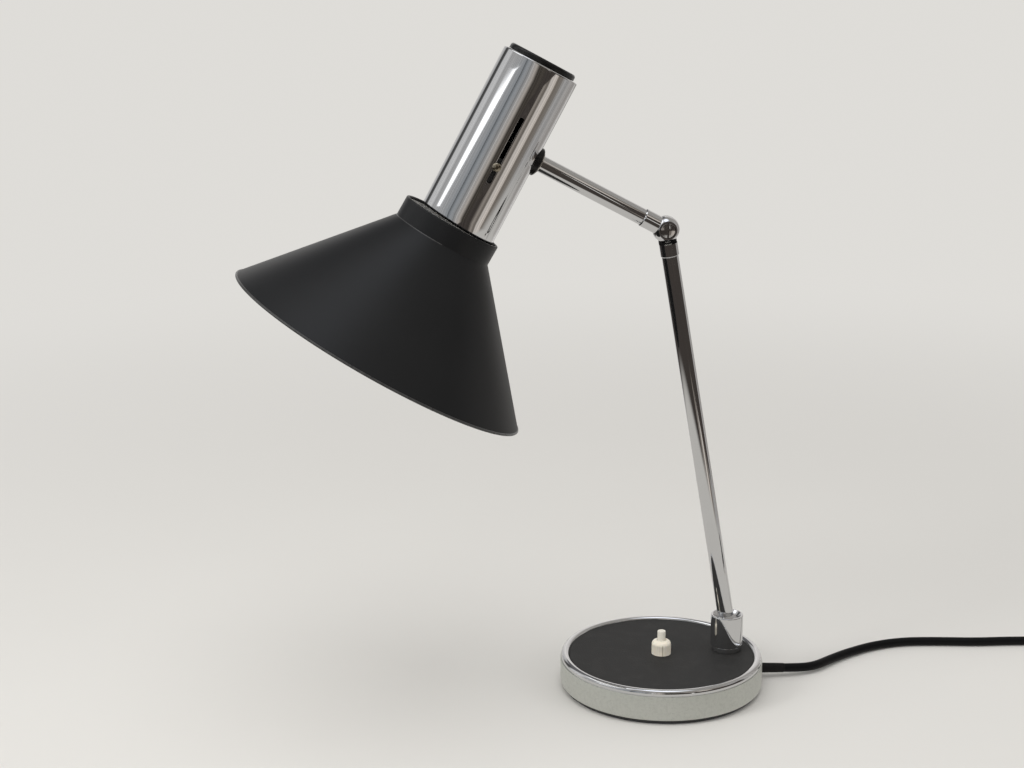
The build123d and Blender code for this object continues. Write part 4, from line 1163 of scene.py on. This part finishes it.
screw = turned("knuckle_bolt", outline(
    (0, knuckle_screw_end),
    (knuckle_shank_r, knuckle_screw_end, knuckle_shank_edge),
    (knuckle_shank_r, screw_room_floor),
    (knuckle_screw_r, screw_room_floor, knuckle_head_edges[0]),
    (knuckle_screw_r, knuckle_screw_edge, knuckle_head_edges[1]),
    arc((0.82 * knuckle_screw_r, knuckle_screw_edge + knuckle_dome),
        (0.5 * knuckle_screw_r, knuckle_screw_top - knuckle_dome),
        (0, knuckle_screw_top)),
), closed=False, steps=72)
slot_size = (knuckle_slot, 3 * knuckle_screw_r, 2 * knuckle_slot)
saw_out(screw, Matrix.Translation((0, 0, knuckle_screw_top)), slot_size)
screw.data.transform(Matrix.Translation(knuckle) @ Matrix.Rotation(math.pi / 2, 4, "X"))
steel = polished("plated_steel", (0.60, 0.59, 0.58), 0.16)
stand_in(screw, ["knuckle_screw"], steel)


# Upper arm: the same chromed tube, ending in a thin bright washer and a black moulded saddle that
# fits the head tube's round side. A nipple through them holds the arm to the head.

head_r = 0.028
saddle_t = 0.0026
washer_t = 0.001
washer_r = 0.0079
washer_edge = 0.0003
washer_gap = 0.00004

arm_place = standing(knuckle, arm_axis)
arm_end = arm_len - head_r - saddle_t - washer_t
stand_in(tube("arm_tube", neck_len, arm_end, arm_place), ["upper_arm"], chrome)
washer_top = arm_end + washer_t - washer_gap
washer = turned("thin_washer", outline(
    (tube_bore, arm_end),
    (washer_r, arm_end, washer_edge),
    (washer_r, washer_top, washer_edge),
    (tube_bore, washer_top),
), arm_place, steps=96)
stand_in(washer, ["arm_washer"], nickel)


# Head tube: a drawn and chromed tube with its top edge rolled inwards and one long slot, punched at
# the side, that the shade's guide screw runs in.

head_wall = 0.0012
head_above = 0.060
head_below = 0.070
head_roll = 0.0012
head_lip_r = 0.0235
head_lip_drop = 0.00005
head_lip_edge = 0.0016
slot_top = 0.0228
slot_foot = -0.0267
slot_edge = 0.00015
slot_columns = 4
slot_ends = (0.0, 0.0001, 0.0008)
head_columns = 208

head = knuckle + arm_len * arm_axis
head_axis = Vector((math.sin(arm_rise), 0, math.cos(arm_rise)))
head_place = standing(head, head_axis)
head_rows = (0.048, 0.04, slot_top, 0.01, -0.008, slot_foot, -0.04, -0.056)
head_tube = spin_up("slotted_tube", outline(
    (head_lip_r, head_above - head_lip_drop),
    (head_r - head_lip_edge, head_above),
    (head_r, head_above, head_roll),
    *[(head_r, z) for z in head_rows],
    (head_r, -head_below),
), False, head_columns)
bpy.ops.mesh.select_mode(type="FACE")
bpy.ops.object.mode_set(mode="OBJECT")
column = 2 * math.pi / head_columns


def from_slot(place):
    """Columns from the slot's middle, at -Y."""
    return abs(math.atan2(place.x, -place.y)) / column


for vertex in head_tube.data.vertices:
    steps_away = round(from_slot(vertex.co))
    if steps_away > slot_columns / 2:
        continue
    if abs(vertex.co.z - slot_top) < hair:
        vertex.co.z -= slot_ends[steps_away]
    if abs(vertex.co.z - slot_foot) < hair:
        vertex.co.z += slot_ends[steps_away]
for face in head_tube.data.polygons:
    in_height = slot_foot < face.center.z < slot_top
    face.select = in_height and from_slot(face.center) < slot_columns / 2
bpy.ops.object.mode_set(mode="EDIT")
bpy.ops.mesh.delete(type="FACE")
bpy.ops.mesh.select_mode(type="VERT")
bpy.ops.object.mode_set(mode="OBJECT")
wall = head_tube.modifiers.new("wall", "SOLIDIFY")
wall.thickness = head_wall
wall.offset = -1
bpy.ops.object.modifier_apply(modifier=wall.name)
eased(head_tube, slot_edge, 50)
head_tube.data.transform(head_place)
bpy.ops.object.shade_smooth_by_angle(angle=math.radians(32))
stand_in(head_tube, ["head_tube"], chrome)


# Cap: black moulded plastic with a rounded edge and a barely domed top. Its hollow skirt is snapped
# into the tube's rolled lip and holds under it by a barb.

cap_r = 0.0247
cap_top = 0.0642
cap_dome = 0.0001
cap_dome_r = 0.012
cap_round = 0.002
cap_edge = 0.0003
cap_gap = 0.0001
skirt_gap = 0.0002
skirt_end = 0.0551
skirt_bore = 0.0213
barb_r = 0.0243
barb_z = 0.0586
cap_ceiling = 0.062

cap = turned("black_cap", outline(
    (0, cap_top + cap_dome),
    (cap_dome_r, cap_top),
    (cap_r, cap_top, cap_round),
    (cap_r, head_above + cap_gap, cap_edge),
    (head_lip_r - skirt_gap, head_above + cap_gap),
    (head_lip_r - skirt_gap, barb_z),
    (barb_r, barb_z),
    (barb_r, skirt_end),
    (skirt_bore, skirt_end),
    (skirt_bore, cap_ceiling),
    (0, cap_ceiling),
), head_place, closed=False, steps=128)
stand_in(cap, ["top_cap"], dark_moulding)


# Guide screw: nickel-plated brass with a domed, slotted head that rides on the tube's outside. The
# plating is worn through to the brass.

guide_z = -0.0146
guide_r = 0.0031
guide_shank_r = 0.0014
guide_shank_in = 0.0225
guide_gap = 0.0003
guide_head_h = 0.0022
guide_edge = 0.0002
guide_dome = (0.0014, 0.0005)
guide_slot = 0.0008
guide_slot_turn = math.radians(40)

guide_low = head_r + guide_gap
guide_high = guide_low + guide_head_h
guide = turned("domed_screw", outline(
    (0, guide_shank_in),
    (guide_shank_r, guide_shank_in),
    (guide_shank_r, guide_low),
    (guide_r, guide_low, guide_edge),
    arc((guide_r, guide_high - guide_dome[0]), (0.72 * guide_r, guide_high - guide_dome[1]), (0, guide_high)),
), closed=False, steps=64)
saw_place = Matrix.Translation((0, 0, guide_high)) @ Matrix.Rotation(guide_slot_turn, 4, "Z")
saw_out(guide, saw_place, (3 * guide_r, guide_slot, 2 * guide_slot))
guide.data.transform(head_place @ Matrix.Translation((0, 0, guide_z)) @ Matrix.Rotation(math.pi / 2, 4, "X"))
screw_metal = polished("worn_nickel", (0.39, 0.345, 0.265), 0.2)
screw_metal.feed("Roughness", 0.16 + 0.2 * screw_metal.noise(0.002, 4.0))
stand_in(guide, ["guide_screw"], screw_metal)


# Shade: spun from aluminium sheet, with a straight collar, a crease, a plain cone and a rolled rim.
# It is lacquered satin black outside and white inside. The lacquer is rubbed on the rim, and a painted
# highlight runs along the crease on the side away from the arm.

shade_lean = math.radians(2.0)
shade_shift = 0.0036
collar_from_arm = 0.0629
collar_r = 0.036
collar_h = 0.0146
collar_lip = 0.001
collar_edge = 0.0003
crease_step = 0.0004
crease_highlight_side = -0.15
sheet_t = 0.001
rim_r = 0.113
shade_h = 0.1055
bead_r = 0.0009
bead_shift = 0.0005

shade_place = (head_place @ Matrix.Translation((-shade_shift, 0, -collar_from_arm))
               @ Matrix.Rotation(shade_lean, 4, "Y"))
crease = Vector((collar_r + crease_step, -collar_h - crease_step))
rim = Vector((rim_r - bead_r, bead_r - shade_h))
down_cone = (rim - crease).normalized()
inward = Vector((down_cone.y, -down_cone.x))
bead_reach = math.sqrt(bead_r ** 2 - bead_shift ** 2)
bead_start = rim - down_cone * bead_reach
bead_end = bead_start + inward * sheet_t
bead_over = rim + inward * bead_shift + down_cone * bead_r
inner_crease_z = crease.y + crease_step / 4
cone_rows = 6
spun_shade = turned("spun_shade", outline(
    arc((collar_r, -collar_lip), (collar_r - collar_lip, 0), (collar_r - sheet_t, -2 * collar_lip), 14),
    (collar_r - sheet_t, inner_crease_z),
    arc(tuple(bead_end), tuple(bead_over), tuple(bead_start), 18),
    *[tuple(rim.lerp(crease, i / cone_rows)) for i in range(1, cone_rows)],
    tuple(crease),
    (collar_r, -collar_h, collar_edge),
), shade_place, steps=192, sharp=30)

lacquer = Finish("satin_black_lacquer", (0.010, 0.0102, 0.0108), 0.38, Specular_IOR_Level=0.24)
peel = lacquer.noise(0.0014, 3.0)
lacquer_cloud = lacquer.noise(0.05, 5.0)
lacquer_dust = lacquer.ease(lacquer.noise(0.00045, 3.0), 0.66, 0.80)
lacquer.tint(lacquer_dust * 0.35 + 0.08 * lacquer_cloud, (0.0078, 0.0081, 0.0088), (0.055, 0.054, 0.054))
lacquer.feed("Roughness", 0.34 + 0.12 * lacquer_cloud)
lacquer.bump(peel, 0.00003, 0.6)

enamel = Finish("white_lacquer", (0.76, 0.755, 0.735), 0.4)
enamel_cloud = enamel.noise(0.02, 4.0)
enamel.tint(enamel_cloud, (0.78, 0.775, 0.755), (0.70, 0.69, 0.665))
enamel.feed("Roughness", 0.34 + 0.14 * enamel_cloud)
enamel.bump(enamel.noise(0.0015, 3.0), 0.00003)

# This edge finish is rubbed lacquer on the rim; on the crease the same finish is a painted highlight.
rim_wear_and_crease_highlight = Finish("black_rim_wear_and_crease_highlight", (0.06, 0.06, 0.062), 0.28)
wear_and_highlight_mottle = rim_wear_and_crease_highlight.noise(0.003, 5.0)
rim_wear_and_crease_highlight.tint(wear_and_highlight_mottle, (0.012, 0.012, 0.0125), (0.07, 0.069, 0.067))
rim_wear_and_crease_highlight.feed("Roughness", 0.2 + 0.2 * wear_and_highlight_mottle)
stand_in(spun_shade, ["shade"], lacquer, enamel, rim_wear_and_crease_highlight)
to_shade = shade_place.inverted()
for face in spun_shade.data.polygons:
    spot = to_shade @ face.center
    out = math.hypot(spot.x, spot.y)
    cone_r = collar_r + max(0, crease.y - spot.z) * (rim.x - crease.x) / (crease.y - rim.y)
    on_crease = -collar_h - crease_step < spot.z < -collar_h + crease_step / 2
    if rim.y < spot.z < -2 * collar_lip and out < cone_r - sheet_t / 2:
        face.material_index = 1
    # On the side away from the arm the crease takes the lighter edge finish: a painted highlight.
    elif spot.z < bead_start.y or on_crease and spot.x < crease_highlight_side * out:
        face.material_index = 2


# Bulb: a small opal glass bulb whose neck is cemented into a nickel-plated cap. It is screwed into
# the lampholder's brass shell and sits deep in the shade.

bulb_r = 0.0225
bulb_end = 0.101
bulb_neck_r = 0.0124
bulb_low = -0.0545
bulb_bend = 0.004
bulb_stem = 0.006
bulb_wall = 0.0008

bulb_centre = bulb_r - bulb_end
above = bulb_low - bulb_centre
touch_angle = math.atan2(above, bulb_neck_r) - math.acos(bulb_r / math.hypot(above, bulb_neck_r))
touch = (bulb_r * math.cos(touch_angle), bulb_centre + bulb_r * math.sin(touch_angle))
neck_top = bulb_low + bulb_stem
bulb = turned("opal_bulb", outline(
    arc((0, -bulb_end), (bulb_r, bulb_centre), touch, 36),
    (bulb_neck_r, bulb_low, bulb_bend),
    (bulb_neck_r, neck_top),
    (bulb_neck_r - bulb_wall, neck_top),
    (bulb_neck_r - bulb_wall, neck_top - bulb_wall),
    (0, neck_top - bulb_wall),
), shade_place, closed=False, steps=96)
opal = Finish("opal_glass", (0.86, 0.86, 0.84), 0.12, Coat_Weight=0.6, Subsurface_Weight=0.35,
              Subsurface_Radius=(0.008, 0.008, 0.0075))
opal_cloud = opal.noise(0.012, 3.0)
opal.tint(opal_cloud, (0.88, 0.88, 0.865), (0.83, 0.83, 0.805))
opal.feed("Roughness", 0.1 + 0.08 * opal_cloud)
stand_in(bulb, ["bulb_glass"], opal)
